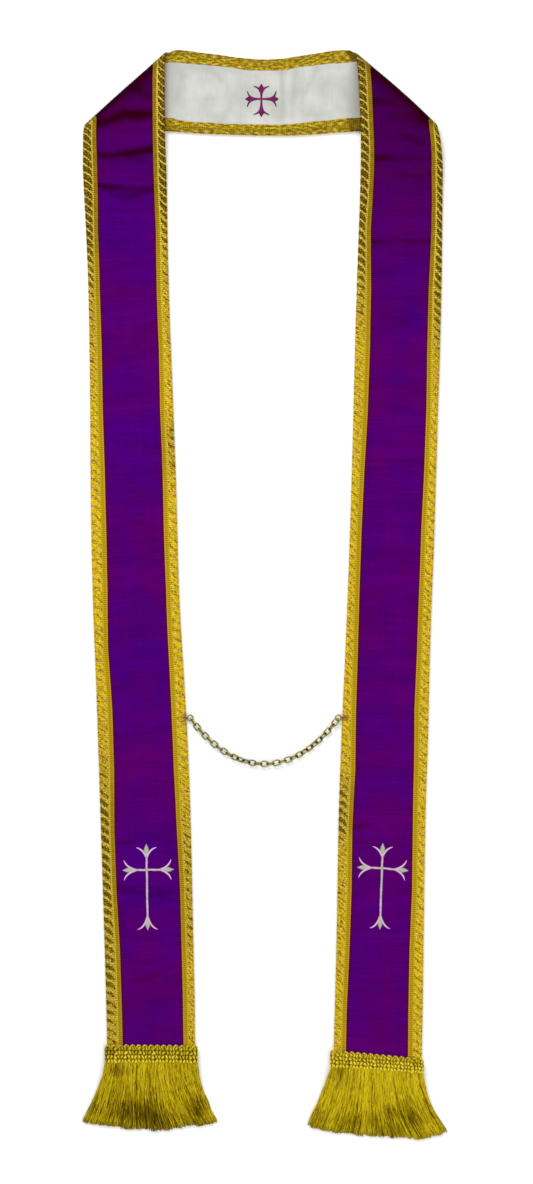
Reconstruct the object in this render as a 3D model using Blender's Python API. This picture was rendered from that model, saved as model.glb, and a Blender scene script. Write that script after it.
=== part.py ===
"""A clerical stole, laid flat.

A long strip of two faces, purple silk and off-white satin, is bound down both long edges with a folded gold
galloon. The neck lies with its white face up. At each end of the neck the strip is folded forward over
itself along a slanting crease, so that the two bands run down with their purple face up. Each band ends in a
fringe with a crocheted header. Three crosses are embroidered on the cloth, and a brass chain joins the bands.

Run it in Blender 4.5 with: blender --background --python part.py
Lengths are in metres and +Z is up. The cloth rests on z = 0, with the neck towards +Y, and the origin is
under the middle of the outline.
"""

import math

import bpy
import numpy as np

MM = 0.001

# The strip, measured through its thickness from the middle surface between its two faces.
PLY_GAP = 0.3 * MM
PLY_THICKNESS = 1.0 * MM
PLY_INSET = 2.0 * MM  # from the bound edge to the edge of the cloth inside the galloon
PLY_TOP = PLY_GAP / 2 + PLY_THICKNESS
GALLOON_THICKNESS = 1.0 * MM
GALLOON_WIDTH = 15.0 * MM
NECK_GALLOON_WIDTH = 13.3 * MM  # drawn a little further round the edge where the neck curves
GALLOON_TOP = PLY_TOP + PLY_GAP + GALLOON_THICKNESS
SEAM_GAP = 0.3 * MM

# The edges lie on the floor on the galloon. Between them the panel sinks until the cloth touches the floor.
EDGE_HEIGHT = GALLOON_TOP
PANEL_SAG = EDGE_HEIGHT - PLY_TOP
SAG_REACH = 2.6 * MM

FOLD_RADIUS = 2.9 * MM
FOLD_STEPS = 6

# The bands' long edges, read at a few heights: y, x of the inner edge, x of the outer edge.
BAND_EDGES = {
    "left": [
        (614.0, -114.0, -205.2),
        (518.0, -113.4, -206.9),
        (461.0, -111.5, -205.8),
        (347.0, -110.0, -201.5),
        (233.0, -105.5, -199.5),
        (119.0, -101.0, -198.4),
        (5.0, -97.5, -196.4),
        (-109.0, -92.4, -192.3),
        (-223.0, -86.6, -188.0),
        (-337.0, -83.6, -184.2),
        (-451.0, -80.8, -181.0),
        (-533.0, -79.2, -179.0),
    ],
    "right": [
        (611.0, 106.0, 199.2),
        (518.0, 109.8, 199.9),
        (461.0, 108.8, 202.2),
        (347.0, 105.5, 201.0),
        (233.0, 101.0, 197.8),
        (119.0, 98.8, 194.4),
        (5.0, 94.2, 191.0),
        (-109.0, 90.2, 187.6),
        (-223.0, 86.1, 184.2),
        (-337.0, 82.9, 181.6),
        (-451.0, 81.0, 180.2),
        (-543.0, 78.2, 178.4),
    ],
}

# The rows of each band, from the crease to the hem: y at the inner edge, y at the outer edge, how much of the
# fold's height is left (1 over the neck, 0 on the floor), and the height of a soft cross fold, in mm.
BAND_ROWS = {
    "left": [
        (613.8, 530.9, 1.00, 0.0),
        (591.0, 529.2, 1.00, 0.2),
        (567.0, 527.3, 1.00, 1.2),
        (545.0, 525.0, 1.00, 0.1),
        (526.0, 521.5, 1.00, 0.0),
        (517.0, 511.0, 0.92, 0.2),
        (508.5, 497.5, 0.76, 1.4),
        (498.5, 487.5, 0.60, 0.1),
        (484.0, 479.0, 0.40, 0.0),
        (469.0, 468.0, 0.22, 1.0),
        (456.5, 456.5, 0.10, 0.3),
        (444.0, 443.0, 0.03, 0.6),
        (428.0, 428.0, 0.00, 0.0),
        (347.0, 347.0, 0.00, 0.0),
        (233.0, 233.0, 0.00, 0.0),
        (119.0, 119.0, 0.00, 0.0),
        (5.0, 5.0, 0.00, 0.0),
        (-109.0, -109.0, 0.00, 0.0),
        (-223.0, -223.0, 0.00, 0.0),
        (-400.0, -400.0, 0.00, 0.0),
        (-436.0, -438.0, 0.00, 0.7),
        (-462.0, -462.0, 0.00, 0.0),
        (-530.8, -530.6, 0.00, 0.0),
    ],
    "right": [
        (611.0, 531.0, 1.00, 0.0),
        (586.0, 529.5, 1.00, 0.2),
        (560.0, 528.0, 1.00, 0.7),
        (540.0, 525.5, 1.00, 0.0),
        (526.0, 521.0, 1.00, 1.0),
        (514.0, 510.0, 0.90, 0.1),
        (499.0, 499.0, 0.74, 1.2),
        (489.0, 487.5, 0.56, 0.1),
        (477.0, 477.0, 0.38, 1.0),
        (463.0, 463.0, 0.18, 0.1),
        (449.0, 449.0, 0.05, 0.0),
        (434.0, 434.0, 0.00, 0.0),
        (405.0, 404.0, 0.00, 0.9),
        (385.0, 385.0, 0.00, 0.0),
        (290.0, 290.0, 0.00, 0.0),
        (176.0, 176.0, 0.00, 0.0),
        (62.0, 62.0, 0.00, 0.0),
        (-52.0, -52.0, 0.00, 0.0),
        (-166.0, -166.0, 0.00, 0.0),
        (-250.0, -250.0, 0.00, 0.0),
        (-400.0, -400.0, 0.00, 0.0),
        (-470.0, -470.0, 0.00, 0.0),
        (-534.8, -541.6, 0.00, 0.0),
    ],
}

# The rows of the neck between its two creases: x and y at the upper edge, x and y at the lower edge, and the
# height of a soft fold across the neck, in mm.
NECK_ROWS = [
    (-98.6, 620.4, -170.5, 533.0, 0.0),
    (-87.2, 619.4, -140.8, 530.3, 0.3),
    (-71.3, 617.3, -105.5, 528.4, 0.0),
    (-50.7, 614.8, -69.0, 525.9, 0.6),
    (-30.2, 611.8, -37.1, 524.8, 0.0),
    (-0.6, 609.7, -0.6, 523.8, 0.0),
    (22.2, 610.9, 24.5, 523.8, 0.0),
    (32.5, 612.5, 37.1, 524.1, 0.9),
    (43.9, 614.3, 54.2, 525.0, 0.0),
    (63.3, 617.3, 80.4, 527.0, 0.5),
    (78.1, 619.6, 108.9, 528.8, 0.0),
    (89.5, 620.4, 137.4, 530.3, 0.3),
    (94.6, 618.7, 165.9, 532.0, 0.0),
]

# The galloon is one band folded round the edge. Each row gives the distance from the bound edge, in mm (None
# for the galloon's own width), and the distance from the middle surface, for its outer and its inner face.
GALLOON_SECTION = [
    (None, GALLOON_TOP, None, GALLOON_TOP - GALLOON_THICKNESS),
    (1.1, GALLOON_TOP, 1.8, GALLOON_TOP - GALLOON_THICKNESS),
    (0.0, 0.0, 1.0, 0.0),
    (1.1, -GALLOON_TOP, 1.8, -GALLOON_TOP + GALLOON_THICKNESS),
    (None, -GALLOON_TOP, None, -GALLOON_TOP + GALLOON_THICKNESS),
]

# The fringes, in mm: the header's ends (x, y of its top, y of its bottom) at the inner and outer side, the
# tips of the locks from the inner to the outer side (x, y), and the power with which the locks spread on their
# way down, at the inner and the outer side.
FRINGES = {
    "left": {
        "inner": (-76.2, -513.0, -532.0),
        "outer": (-182.2, -512.6, -531.6),
        "tips": [(-54.5, -601.0), (-76.0, -604.5), (-120.0, -610.6), (-165.0, -607.6), (-207.0, -602.0)],
        "flare": (1.6, 1.15),
    },
    "right": {
        "inner": (73.5, -518.0, -535.9),
        "outer": (181.3, -528.0, -542.7),
        "tips": [(50.0, -611.0), (85.0, -614.5), (135.0, -617.8), (183.0, -620.4), (207.5, -613.0)],
        "flare": (1.2, 1.8),
    },
}
FRINGE_LOCKS = 46
HEADER_SCALLOPS = 14
SCALLOP_HEIGHT = 2.2 * MM
HEADER_THICKNESS = 1.4 * MM
LOCK_FILL = 0.72  # share of its pitch that a lock takes
LOCK_TIP_HEIGHT = 1.3 * MM
LOCK_TIP_STEP = 0.35 * MM  # neighbouring tips lie at three heights
LOCK_RAGGEDNESS = 1.4 * MM

# How far along a lock its rings lie, as a share of its length, and how thick it is there.
LOCK_RINGS = [
    (0.30, 2.0 * MM),
    (0.68, 2.2 * MM),
    (1.00, 1.3 * MM),
]

# The embroidered crosses: centre x and y, how far each arm reaches (right, up, left, down), the turn in
# degrees, the stem's width, how far the petals spread and lie back from the tip, and where they leave the stem.
CROSS_COLUMNS = ("name", "x", "y", "reach", "turn", "stem", "spread", "back", "root")
CROSSES = [
    ("cross_left", -134.3, -314.1, (31.1, 29.6, 27.6, 68.9), 1.0, 3.0, 11.8, 4.0, 14.0),
    ("cross_right", 134.0, -312.1, (29.8, 28.5, 28.2, 69.9), -2.0, 3.0, 11.8, 4.0, 14.0),
    ("cross_neck", -3.6, 565.1, (19.7, 17.1, 18.6, 20.2), 0.0, 2.3, 9.0, 2.4, 9.0),
]
BUD_LENGTH = 5.5 * MM
BUD_WIDTH = 3.6 * MM
STITCH_THICKNESS = 0.8 * MM
STITCH_LIFT = 0.35 * MM

# The chain hangs in a catenary from two round rings, one beside each band's inner edge.
CHAIN_Y = -140.8 * MM
CHAIN_HEIGHT = 2.6 * MM
WIRE_DIAMETER = 1.25 * MM
RING_RADIUS = 3.3 * MM
RING_CLEARANCE = 0.4 * MM
RING_TO_LINK = 6.0 * MM
LINK_PITCH = 6.95 * MM
LINK_COUNT = 29
LINK_LENGTH = 9.9 * MM
LINK_WIDTH = 6.8 * MM
LINK_TILT = math.radians(45)

# Finishes: colour in linear light, roughness, metallic.
FINISHES = {
    "silk_purple": ((0.090, 0.003, 0.160), 0.55, 0.0),
    "satin_white": ((0.680, 0.690, 0.660), 0.50, 0.0),
    "gold_galloon": ((0.480, 0.330, 0.030), 0.42, 0.5),
    "gold_fringe": ((0.400, 0.320, 0.030), 0.50, 0.3),
    "silver_embroidery": ((0.420, 0.380, 0.380), 0.45, 0.2),
    "purple_embroidery": ((0.190, 0.008, 0.150), 0.50, 0.0),
    "antique_brass": ((0.230, 0.180, 0.060), 0.38, 1.0),
}


class Row:
    """One line across the strip, from its inner (upper) edge to its outer (lower) edge.

    turn is the angle through which the strip has gone round the fold: 0 in the neck, pi in the bands.
    outward points away from the cloth, square to the crease, and counts only on the fold.
    """

    def __init__(self, inner, outer, height, lift=0.0, turn=0.0, outward=(0.0, 0.0), galloon=GALLOON_WIDTH):
        self.inner = np.array(inner)
        self.outer = np.array(outer)
        self.height = height
        self.lift = lift
        self.turn = turn
        self.outward = np.array(outward)
        self.galloon = galloon
        self.width = 0.0

    def panel_share(self, across):
        """0 under the galloon and 1 in the open panel."""
        from_edge = min(across, self.width - across)
        return float(np.clip((from_edge - self.galloon) / SAG_REACH, 0.0, 1.0))

    def place(self, across, off):
        """The point this far from the inner edge, and this far from the middle towards the purple face."""
        plan = self.inner + (self.outer - self.inner) * across / self.width
        plan = plan + self.outward * (FOLD_RADIUS + off) * math.sin(self.turn)
        panel = (self.lift - PANEL_SAG) * self.panel_share(across)
        return (plan[0], plan[1], self.height + panel - off * math.cos(self.turn))


def cross_2d(a, b):
    return a[0] * b[1] - a[1] * b[0]


def unit(vector):
    return vector / np.linalg.norm(vector)


def set_widths(rows):
    """The width square to the strip's direction, which runs through the middles of the rows."""
    middles = np.array([(row.inner + row.outer) / 2 for row in rows])
    directions = np.gradient(middles, axis=0)
    for row, direction in zip(rows, directions):
        row.width = abs(cross_2d(row.outer - row.inner, unit(direction)))


def edge_x(side, y, column):
    """x of a band's inner edge (column 1) or outer edge (column 2) at this y, in metres."""
    table = np.array(BAND_EDGES[side])[::-1] * MM
    return float(np.interp(y, table[:, 0], table[:, column]))


def flat_band_rows(side):
    rows = []
    for inner_y, outer_y, seat, lift in BAND_ROWS[side]:
        inner = (edge_x(side, inner_y * MM, 1), inner_y * MM)
        outer = (edge_x(side, outer_y * MM, 2), outer_y * MM)
        height = EDGE_HEIGHT + 2 * FOLD_RADIUS * seat
        rows.append(Row(inner, outer, height, lift * MM, math.pi))
    set_widths(rows)
    return rows


def fold_rows(flat_rows):
    """The rows that go round the crease, from the neck's plane up to the band's first flat row."""
    first, second = flat_rows[0], flat_rows[1]
    along = unit(first.outer - first.inner)
    travel = unit((second.inner + second.outer) / 2 - (first.inner + first.outer) / 2)
    outward = -unit(travel - along * travel.dot(along))
    slip = travel.dot(along) / abs(cross_2d(travel, along))
    rows = []
    for step in range(FOLD_STEPS):
        turn = math.pi * step / FOLD_STEPS
        shift = along * (math.pi - turn) * FOLD_RADIUS * slip
        height = EDGE_HEIGHT + FOLD_RADIUS * (1 - math.cos(turn))
        row = Row(first.inner - shift, first.outer - shift, height, 0.0, turn, outward)
        row.width = first.width
        rows.append(row)
    return rows


def band_rows(side):
    flat_rows = flat_band_rows(side)
    return fold_rows(flat_rows) + flat_rows


def neck_rows(left_rows, right_rows):
    """The neck's rows. Its end rows lie just inside the first row of each fold."""
    ends = []
    for row in (left_rows[0], right_rows[0]):
        shift = row.outward * SEAM_GAP
        ends.append(Row(row.inner - shift, row.outer - shift, EDGE_HEIGHT))
    middle = []
    for top_x, top_y, bottom_x, bottom_y, lift in NECK_ROWS:
        top = (top_x * MM, top_y * MM)
        bottom = (bottom_x * MM, bottom_y * MM)
        middle.append(Row(top, bottom, EDGE_HEIGHT, lift * MM, galloon=NECK_GALLOON_WIDTH))
    rows = [ends[0]] + middle + [ends[1]]
    set_widths(rows)
    return rows


def new_material(name):
    colour, roughness, metallic = FINISHES[name]
    material = bpy.data.materials.new(name)
    material.use_nodes = True
    shader = material.node_tree.nodes["Principled BSDF"]
    shader.inputs["Base Color"].default_value = (*colour, 1.0)
    shader.inputs["Roughness"].default_value = roughness
    shader.inputs["Metallic"].default_value = metallic
    material.diffuse_color = (*colour, 1.0)
    return material


def add_object(name, data, finish, collection):
    thing = bpy.data.objects.new(name, data)
    data.materials.append(bpy.data.materials[finish])
    collection.objects.link(thing)
    return thing


def add_mesh(name, points, faces, finish, collection):
    """A closed mesh. Its faces are turned to point outwards by the sign of its volume."""
    points = np.array(points)
    volume = 0.0
    for face in faces:
        for second, third in zip(face[1:-1], face[2:]):
            volume += points[face[0]].dot(np.cross(points[second], points[third]))
    if volume < 0:
        faces = [face[::-1] for face in faces]
    mesh = bpy.data.meshes.new(name)
    mesh.from_pydata(points.tolist(), [], faces)
    mesh.validate()
    return add_object(name, mesh, finish, collection)


def cloth_wall(name, sections, finish, collection):
    """A wall between two lines of points per row: sections[row] holds the outer line, then the inner line.

    Facing quads are split along the same diagonal on both sides, so that layers of cloth stay parallel.
    """
    count = len(sections[0][0])
    points = [point for section in sections for line in section for point in line]

    def at(row, line, column):
        return (row * 2 + line) * count + column

    faces = []
    for row in range(len(sections) - 1):
        for column in range(count - 1):
            for line in (0, 1):
                a, b = at(row, line, column), at(row, line, column + 1)
                c, d = at(row + 1, line, column + 1), at(row + 1, line, column)
                halves = [(a, b, c), (a, c, d)]
                faces += halves if line == 0 else [half[::-1] for half in halves]
        for column in (0, count - 1):
            rim = (at(row, 0, column), at(row + 1, 0, column), at(row + 1, 1, column), at(row, 1, column))
            faces.append(rim if column == 0 else rim[::-1])
    last = len(sections) - 1
    for column in range(count - 1):
        for row in (0, last):
            end = (at(row, 0, column), at(row, 1, column), at(row, 1, column + 1), at(row, 0, column + 1))
            faces.append(end if row == 0 else end[::-1])
    return add_mesh(name, points, faces, finish, collection)


def ply_sections(rows, low, high):
    sections = []
    for row in rows:
        near = [PLY_INSET, row.galloon, row.galloon + SAG_REACH]
        columns = near + [row.width / 2] + [row.width - across for across in reversed(near)]
        sections.append([[row.place(across, off) for across in columns] for off in (high, low)])
    return sections


def galloon_sections(rows, edge):
    """The folded galloon's section at each row, at the inner or the outer edge."""
    sections = []
    for row in rows:
        lines = [[], []]
        for outer_across, outer_off, inner_across, inner_off in GALLOON_SECTION:
            for line, across, off in ((0, outer_across, outer_off), (1, inner_across, inner_off)):
                across = row.galloon if across is None else across * MM
                across = across if edge == "inner" else row.width - across
                lines[line].append(row.place(across, off))
        sections.append(lines)
    return sections


def make_cloth(rows_of, collection):
    for stretch, rows in rows_of.items():
        names = {"inner": f"braid_inner_{stretch}", "outer": f"braid_outer_{stretch}"}
        faces = (f"purple_band_{stretch}", f"white_band_{stretch}")
        if stretch == "neck":
            names = {"inner": "braid_neck_top", "outer": "braid_neck_bottom"}
            faces = ("purple_neck", "white_neck")
        cloth_wall(faces[0], ply_sections(rows, PLY_GAP / 2, PLY_TOP), "silk_purple", collection)
        cloth_wall(faces[1], ply_sections(rows, -PLY_TOP, -PLY_GAP / 2), "satin_white", collection)
        for edge, name in names.items():
            cloth_wall(name, galloon_sections(rows, edge), "gold_galloon", collection)


def header_height(side, x, y):
    """Height of the header's underside: over the galloon at the band's edges, lower over the panel."""
    inner, outer = edge_x(side, y, 1), edge_x(side, y, 2)
    from_edge = max(min(abs(x - inner), abs(outer - x)), 0.0)
    if not min(inner, outer) < x < max(inner, outer):
        from_edge = 0.0
    over_galloon = EDGE_HEIGHT + GALLOON_TOP + SEAM_GAP
    over_panel = 2 * PLY_TOP + SEAM_GAP
    reach = [GALLOON_WIDTH + 2 * SEAM_GAP, GALLOON_WIDTH + SAG_REACH + 2 * SEAM_GAP]
    return float(np.interp(from_edge, reach, [over_galloon, over_panel]))


def header_columns():
    """Shares along the header: its two ends, and the two sides of each lock's root."""
    shares = [0.0]
    for lock in range(FRINGE_LOCKS):
        middle = (lock + 0.5) / FRINGE_LOCKS
        half = LOCK_FILL / 2 / FRINGE_LOCKS
        shares += [middle - half, middle + half]
    return shares + [1.0]


def make_fringe(side, collection):
    """One body: the header is a strip with a scalloped top edge, and each lock grows from its lower rim."""
    plan = FRINGES[side]
    inner_x, inner_top, inner_bottom = (value * MM for value in plan["inner"])
    outer_x, outer_top, outer_bottom = (value * MM for value in plan["outer"])
    shares = header_columns()
    points = []
    for share in shares:
        x = inner_x + (outer_x - inner_x) * share
        scallop = SCALLOP_HEIGHT * abs(math.sin(math.pi * share * HEADER_SCALLOPS))
        top = inner_top + (outer_top - inner_top) * share - SCALLOP_HEIGHT + scallop
        bottom = inner_bottom + (outer_bottom - inner_bottom) * share
        back = header_height(side, x, top)
        front = header_height(side, x, bottom)
        points += [(x, top, back), (x, top, back + HEADER_THICKNESS)]
        points += [(x, bottom, front + HEADER_THICKNESS), (x, bottom, front)]
    faces = [(0, 1, 2, 3)]
    last = 4 * (len(shares) - 1)
    faces.append((last + 3, last + 2, last + 1, last))
    for column in range(len(shares) - 1):
        a, b = 4 * column, 4 * column + 4
        is_root = column % 2 == 1
        for corner in range(4):
            following = (corner + 1) % 4
            if is_root and corner == 2:
                continue
            faces.append((a + corner, b + corner, b + following, a + following))
    for lock in range(FRINGE_LOCKS):
        add_lock(points, faces, 4 * (2 * lock + 1), lock, plan)
    add_mesh(f"fringe_{side}", points, faces, "gold_fringe", collection)


def add_lock(points, faces, first, lock, plan):
    """Adds a tapered lock of four sides to the rim face whose columns start at the point numbered first."""
    tips = np.array(plan["tips"]) * MM
    tip_shares = np.linspace(0.0, 1.0, len(tips))
    root = [first + 3, first + 7, first + 6, first + 2]
    centre = np.mean([points[corner] for corner in root], axis=0)
    share = (lock + 0.5) / FRINGE_LOCKS
    tip_x = np.interp(share, tip_shares, tips[:, 0])
    tip_y = np.interp(share, tip_shares, tips[:, 1]) + LOCK_RAGGEDNESS * math.sin(2.4 * lock)
    root_half = (points[first + 4][0] - points[first][0]) / 2
    root_pitch = 2 * root_half / LOCK_FILL
    tip_pitch = (tips[-1][0] - tips[0][0]) / FRINGE_LOCKS
    tip_z = LOCK_TIP_HEIGHT + LOCK_TIP_STEP * (lock % 3)
    flare = np.interp(share, (0.0, 1.0), plan["flare"])
    ring = root
    for share_down, thickness in LOCK_RINGS:
        spread = share_down**flare
        x = centre[0] + (tip_x - centre[0]) * spread
        y = centre[1] + (tip_y - centre[1]) * share_down
        z = tip_z + (centre[2] - tip_z) * (1 - share_down) ** 2
        half = (root_pitch + (tip_pitch - root_pitch) * spread) * LOCK_FILL / 2
        start = len(points)
        for side_x, side_z in ((-1, -1), (1, -1), (1, 1), (-1, 1)):
            points.append((x + side_x * half, y, z + side_z * thickness / 2))
        new_ring = list(range(start, start + 4))
        for corner in range(4):
            following = (corner + 1) % 4
            faces.append((ring[following], ring[corner], new_ring[corner], new_ring[following]))
        ring = new_ring
    faces.append(tuple(reversed(ring)))


def bezier(start, control, end, shares):
    """Points of a quadratic curve at these shares of its way."""
    start, control, end = np.array(start), np.array(control), np.array(end)
    return [(1 - t) ** 2 * start + 2 * t * (1 - t) * control + t**2 * end for t in shares]


def arm_half(reach, stem, spread, back, root):
    """Half of one arm's outline, from the stem out round a petal to the bud, as (along, aside)."""
    stem_side = stem / 2
    petal_tip = (reach - back, spread)
    petal_root = (reach - root, stem_side)
    fork = (reach - BUD_LENGTH - 1.5 * MM, stem_side * 1.1)
    outline = bezier(petal_root, (reach - back - 3.5 * MM, stem_side + 1.2 * MM), petal_tip, (0, 0.35, 0.7, 1))
    outline += bezier(petal_tip, (reach - back - 1.0 * MM, stem_side + 2.6 * MM), fork, (0.4, 0.75, 1))
    outline.append(np.array((reach - BUD_LENGTH * 0.55, BUD_WIDTH / 2)))
    return outline


def cross_outline(spec):
    """The outline of a cross with a bud and two petals on each arm, round from the right arm."""
    outline = []
    for quarter, reach in enumerate(spec["reach"]):
        stem, spread, back, root = (spec[key] * MM for key in ("stem", "spread", "back", "root"))
        half = arm_half(reach * MM, stem, spread, back, root)
        arm = [(along, -aside) for along, aside in half]
        arm.append((reach * MM, 0.0))
        arm += [(along, aside) for along, aside in reversed(half)]
        arm.append((stem / 2, stem / 2))
        turn = math.radians(90 * quarter + spec["turn"])
        for along, aside in arm:
            x = spec["x"] * MM + along * math.cos(turn) - aside * math.sin(turn)
            y = spec["y"] * MM + along * math.sin(turn) + aside * math.cos(turn)
            outline.append((x, y))
    return outline


def make_cross(spec, finish, collection):
    """A flat outline extruded to the height of the stitches, just above the flat panel."""
    curve = bpy.data.curves.new(spec["name"], "CURVE")
    curve.dimensions = "2D"
    curve.fill_mode = "BOTH"
    curve.extrude = STITCH_THICKNESS / 2
    outline = cross_outline(spec)
    spline = curve.splines.new("POLY")
    spline.points.add(len(outline) - 1)
    for point, (x, y) in zip(spline.points, outline):
        point.co = (x, y, 0.0, 1.0)
    spline.use_cyclic_u = True
    cross = add_object(spec["name"], curve, finish, collection)
    cross.location.z = 2 * PLY_TOP + STITCH_LIFT + STITCH_THICKNESS / 2


def wire_loop(name, path, collection):
    """A closed loop of round wire through these points."""
    curve = bpy.data.curves.new(name, "CURVE")
    curve.dimensions = "3D"
    curve.bevel_depth = WIRE_DIAMETER / 2
    curve.bevel_resolution = 1
    spline = curve.splines.new("POLY")
    spline.points.add(len(path) - 1)
    for point, (x, y) in zip(spline.points, path):
        point.co = (x, y, 0.0, 1.0)
    spline.use_cyclic_u = True
    return add_object(name, curve, "antique_brass", collection)


def link_path():
    """The centre line of an oval link: two half circles joined by straight sides."""
    radius = (LINK_WIDTH - WIRE_DIAMETER) / 2
    straight = (LINK_LENGTH - LINK_WIDTH) / 2
    path = []
    for side in (1, -1):
        for step in range(5):
            angle = side * math.pi / 2 * (step / 2 - 1)
            path.append((side * (straight + radius * math.cos(angle)), radius * math.sin(angle)))
    return path


def ring_path():
    angles = [2 * math.pi * step / 12 for step in range(12)]
    return [(RING_RADIUS * math.cos(angle), RING_RADIUS * math.sin(angle)) for angle in angles]


def catenary_scale(half_span, length):
    """The catenary's scale a for which 2 a sinh(half_span / a) is the length, by halving."""
    low, high = half_span / 5, half_span * 50
    for _ in range(80):
        middle = (low + high) / 2
        too_long = 2 * middle * math.sinh(half_span / middle) > length
        low, high = (middle, high) if too_long else (low, middle)
    return (low + high) / 2


def make_chain(collection):
    """The rings and links ride under an empty on the axis through the rings' centres."""
    reach = RING_CLEARANCE + RING_RADIUS + WIRE_DIAMETER / 2
    left_x = edge_x("left", CHAIN_Y, 1) + reach
    right_x = edge_x("right", CHAIN_Y, 1) - reach
    axis = bpy.data.objects.new("chain_axis", None)
    axis.location = ((left_x + right_x) / 2, CHAIN_Y, CHAIN_HEIGHT)
    collection.objects.link(axis)
    half_span = (right_x - left_x) / 2
    for name, side in (("ring_left", -1), ("ring_right", 1)):
        ring = wire_loop(name, ring_path(), collection)
        ring.parent = axis
        ring.location = (side * half_span, 0.0, 0.0)
    length = (LINK_COUNT - 1) * LINK_PITCH + 2 * RING_TO_LINK
    scale = catenary_scale(half_span, length)
    lowest = scale * math.cosh(half_span / scale)
    for number in range(LINK_COUNT):
        from_middle = RING_TO_LINK + number * LINK_PITCH - length / 2
        x = scale * math.asinh(from_middle / scale)
        link = wire_loop(f"link_{number + 1:02d}", link_path(), collection)
        link.parent = axis
        link.location = (x, scale * math.cosh(x / scale) - lowest, 0.0)
        link.rotation_euler = (LINK_TILT * (-1) ** number, 0.0, math.atan(math.sinh(x / scale)))


def main():
    for thing in list(bpy.data.objects):
        bpy.data.objects.remove(thing)
    collection = bpy.data.collections.new("clerical_stole")
    bpy.context.scene.collection.children.link(collection)
    for name in FINISHES:
        new_material(name)
    rows_of = {side: band_rows(side) for side in BAND_EDGES}
    rows_of["neck"] = neck_rows(rows_of["left"], rows_of["right"])
    make_cloth(rows_of, collection)
    for side in FRINGES:
        make_fringe(side, collection)
    for row in CROSSES:
        spec = dict(zip(CROSS_COLUMNS, row))
        finish = "purple_embroidery" if spec["name"] == "cross_neck" else "silver_embroidery"
        make_cross(spec, finish, collection)
    make_chain(collection)


main()
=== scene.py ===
import math

import bpy
import numpy as np
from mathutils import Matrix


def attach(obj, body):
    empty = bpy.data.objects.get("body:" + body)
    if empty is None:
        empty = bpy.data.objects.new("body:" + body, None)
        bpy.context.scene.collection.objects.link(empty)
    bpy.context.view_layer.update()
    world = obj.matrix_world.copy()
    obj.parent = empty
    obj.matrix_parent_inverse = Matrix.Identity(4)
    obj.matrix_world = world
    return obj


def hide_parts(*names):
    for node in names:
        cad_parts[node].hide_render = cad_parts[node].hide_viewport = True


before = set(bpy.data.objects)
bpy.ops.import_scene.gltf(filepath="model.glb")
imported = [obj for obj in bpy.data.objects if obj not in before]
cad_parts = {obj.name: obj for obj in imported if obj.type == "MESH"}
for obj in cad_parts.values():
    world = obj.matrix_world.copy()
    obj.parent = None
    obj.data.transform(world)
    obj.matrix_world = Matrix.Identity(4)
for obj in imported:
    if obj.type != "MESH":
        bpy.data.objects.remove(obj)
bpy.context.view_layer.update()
print("stole: frame loaded")

mm = 0.001


def unit(vectors):
    return vectors / np.linalg.norm(vectors, axis=-1, keepdims=True)


def lengthsAlong(path):
    # How far along the path each of its points lies.
    return np.concatenate([[0.0], np.cumsum(np.linalg.norm(np.diff(path, axis=0), axis=1))])


def fromTable(table, at):
    # Reads a table of (place, value) rows, in straight lines from row to row.
    return np.interp(at, *np.array(table, float).T)


def bell(distance, reach):
    # e to the power of -(distance / reach)^2: 1 at no distance, and soon nothing past the reach.
    return np.exp(-((distance / reach) ** 2))


def softStep(value):
    # 0 below 0, 1 above 1, and 3v^2 - 2v^3 between them.
    value = np.clip(value, 0.0, 1.0)
    return value * value * (3 - 2 * value)


def smoothCurve(at, xs, ys):
    # A monotone cubic through the points (xs, ys), one curve for each column of ys: between two points it
    # is a cubic with the harmonic mean of the neighbouring slopes at each end, so that it never overshoots.
    at, xs = np.asarray(at, float), np.asarray(xs, float)
    ys = np.asarray(ys, float).reshape(len(xs), -1)
    step = np.diff(xs)[:, None]
    rise = np.diff(ys, axis=0) / step
    slope = np.vstack([rise[:1], np.zeros_like(rise[1:]), rise[-1:]])
    before, after = rise[:-1], rise[1:]
    safe = np.where(before * after > 0, before * after, 1.0)
    heavy, light = 2 * step[1:] + step[:-1], step[1:] + 2 * step[:-1]
    mean = (heavy + light) * safe / (heavy * after + light * before + 1e-30)
    slope[1:-1] = np.where(before * after > 0, mean, 0.0)
    piece = np.clip(np.searchsorted(xs, at, side="right") - 1, 0, len(xs) - 2)
    t = ((at - xs[piece]) / step[piece, 0])[:, None]
    wide = step[piece]
    return (
        ys[piece] * (1 + 2 * t) * (1 - t) ** 2
        + ys[piece + 1] * t**2 * (3 - 2 * t)
        + slope[piece] * wide * t * (1 - t) ** 2
        + slope[piece + 1] * wide * t**2 * (t - 1)
    )


def gridFaces(rows, columns):
    # The quads of a grid whose points are numbered row by row, and whose last column joins its first.
    row = np.arange(rows - 1)[:, None] * columns
    column = np.arange(columns)[None, :]
    following = (column + 1) % columns
    quads = [row + column, row + following, row + columns + following, row + columns + column]
    return np.stack(quads, axis=-1).reshape(-1, 4)


def tubeFaces(rows, columns):
    # The quads of such a grid, and one many-sided face at each end.
    start = np.arange(columns)[None, ::-1]
    return [gridFaces(rows, columns), start, start[:, ::-1] + (rows - 1) * columns]


def repeatedFaces(faces, count, size):
    # The same faces for many equal shapes, whose points follow each other, size points each.
    firsts = (np.arange(count) * size)[:, None, None]
    return [(group[None] + firsts).reshape(-1, group.shape[1]) for group in faces]


def turnedOutwards(points, faces):
    # The signed volume under every face, fanned from its first corner, is negative when the faces point
    # inwards.
    volume = 0.0
    for group in faces:
        fan = points[group]
        for second in range(1, group.shape[1] - 1):
            volume += np.einsum("ij,ij->i", fan[:, 0], np.cross(fan[:, second], fan[:, second + 1])).sum()
    return faces if volume > 0 else [group[:, ::-1] for group in faces]


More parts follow.
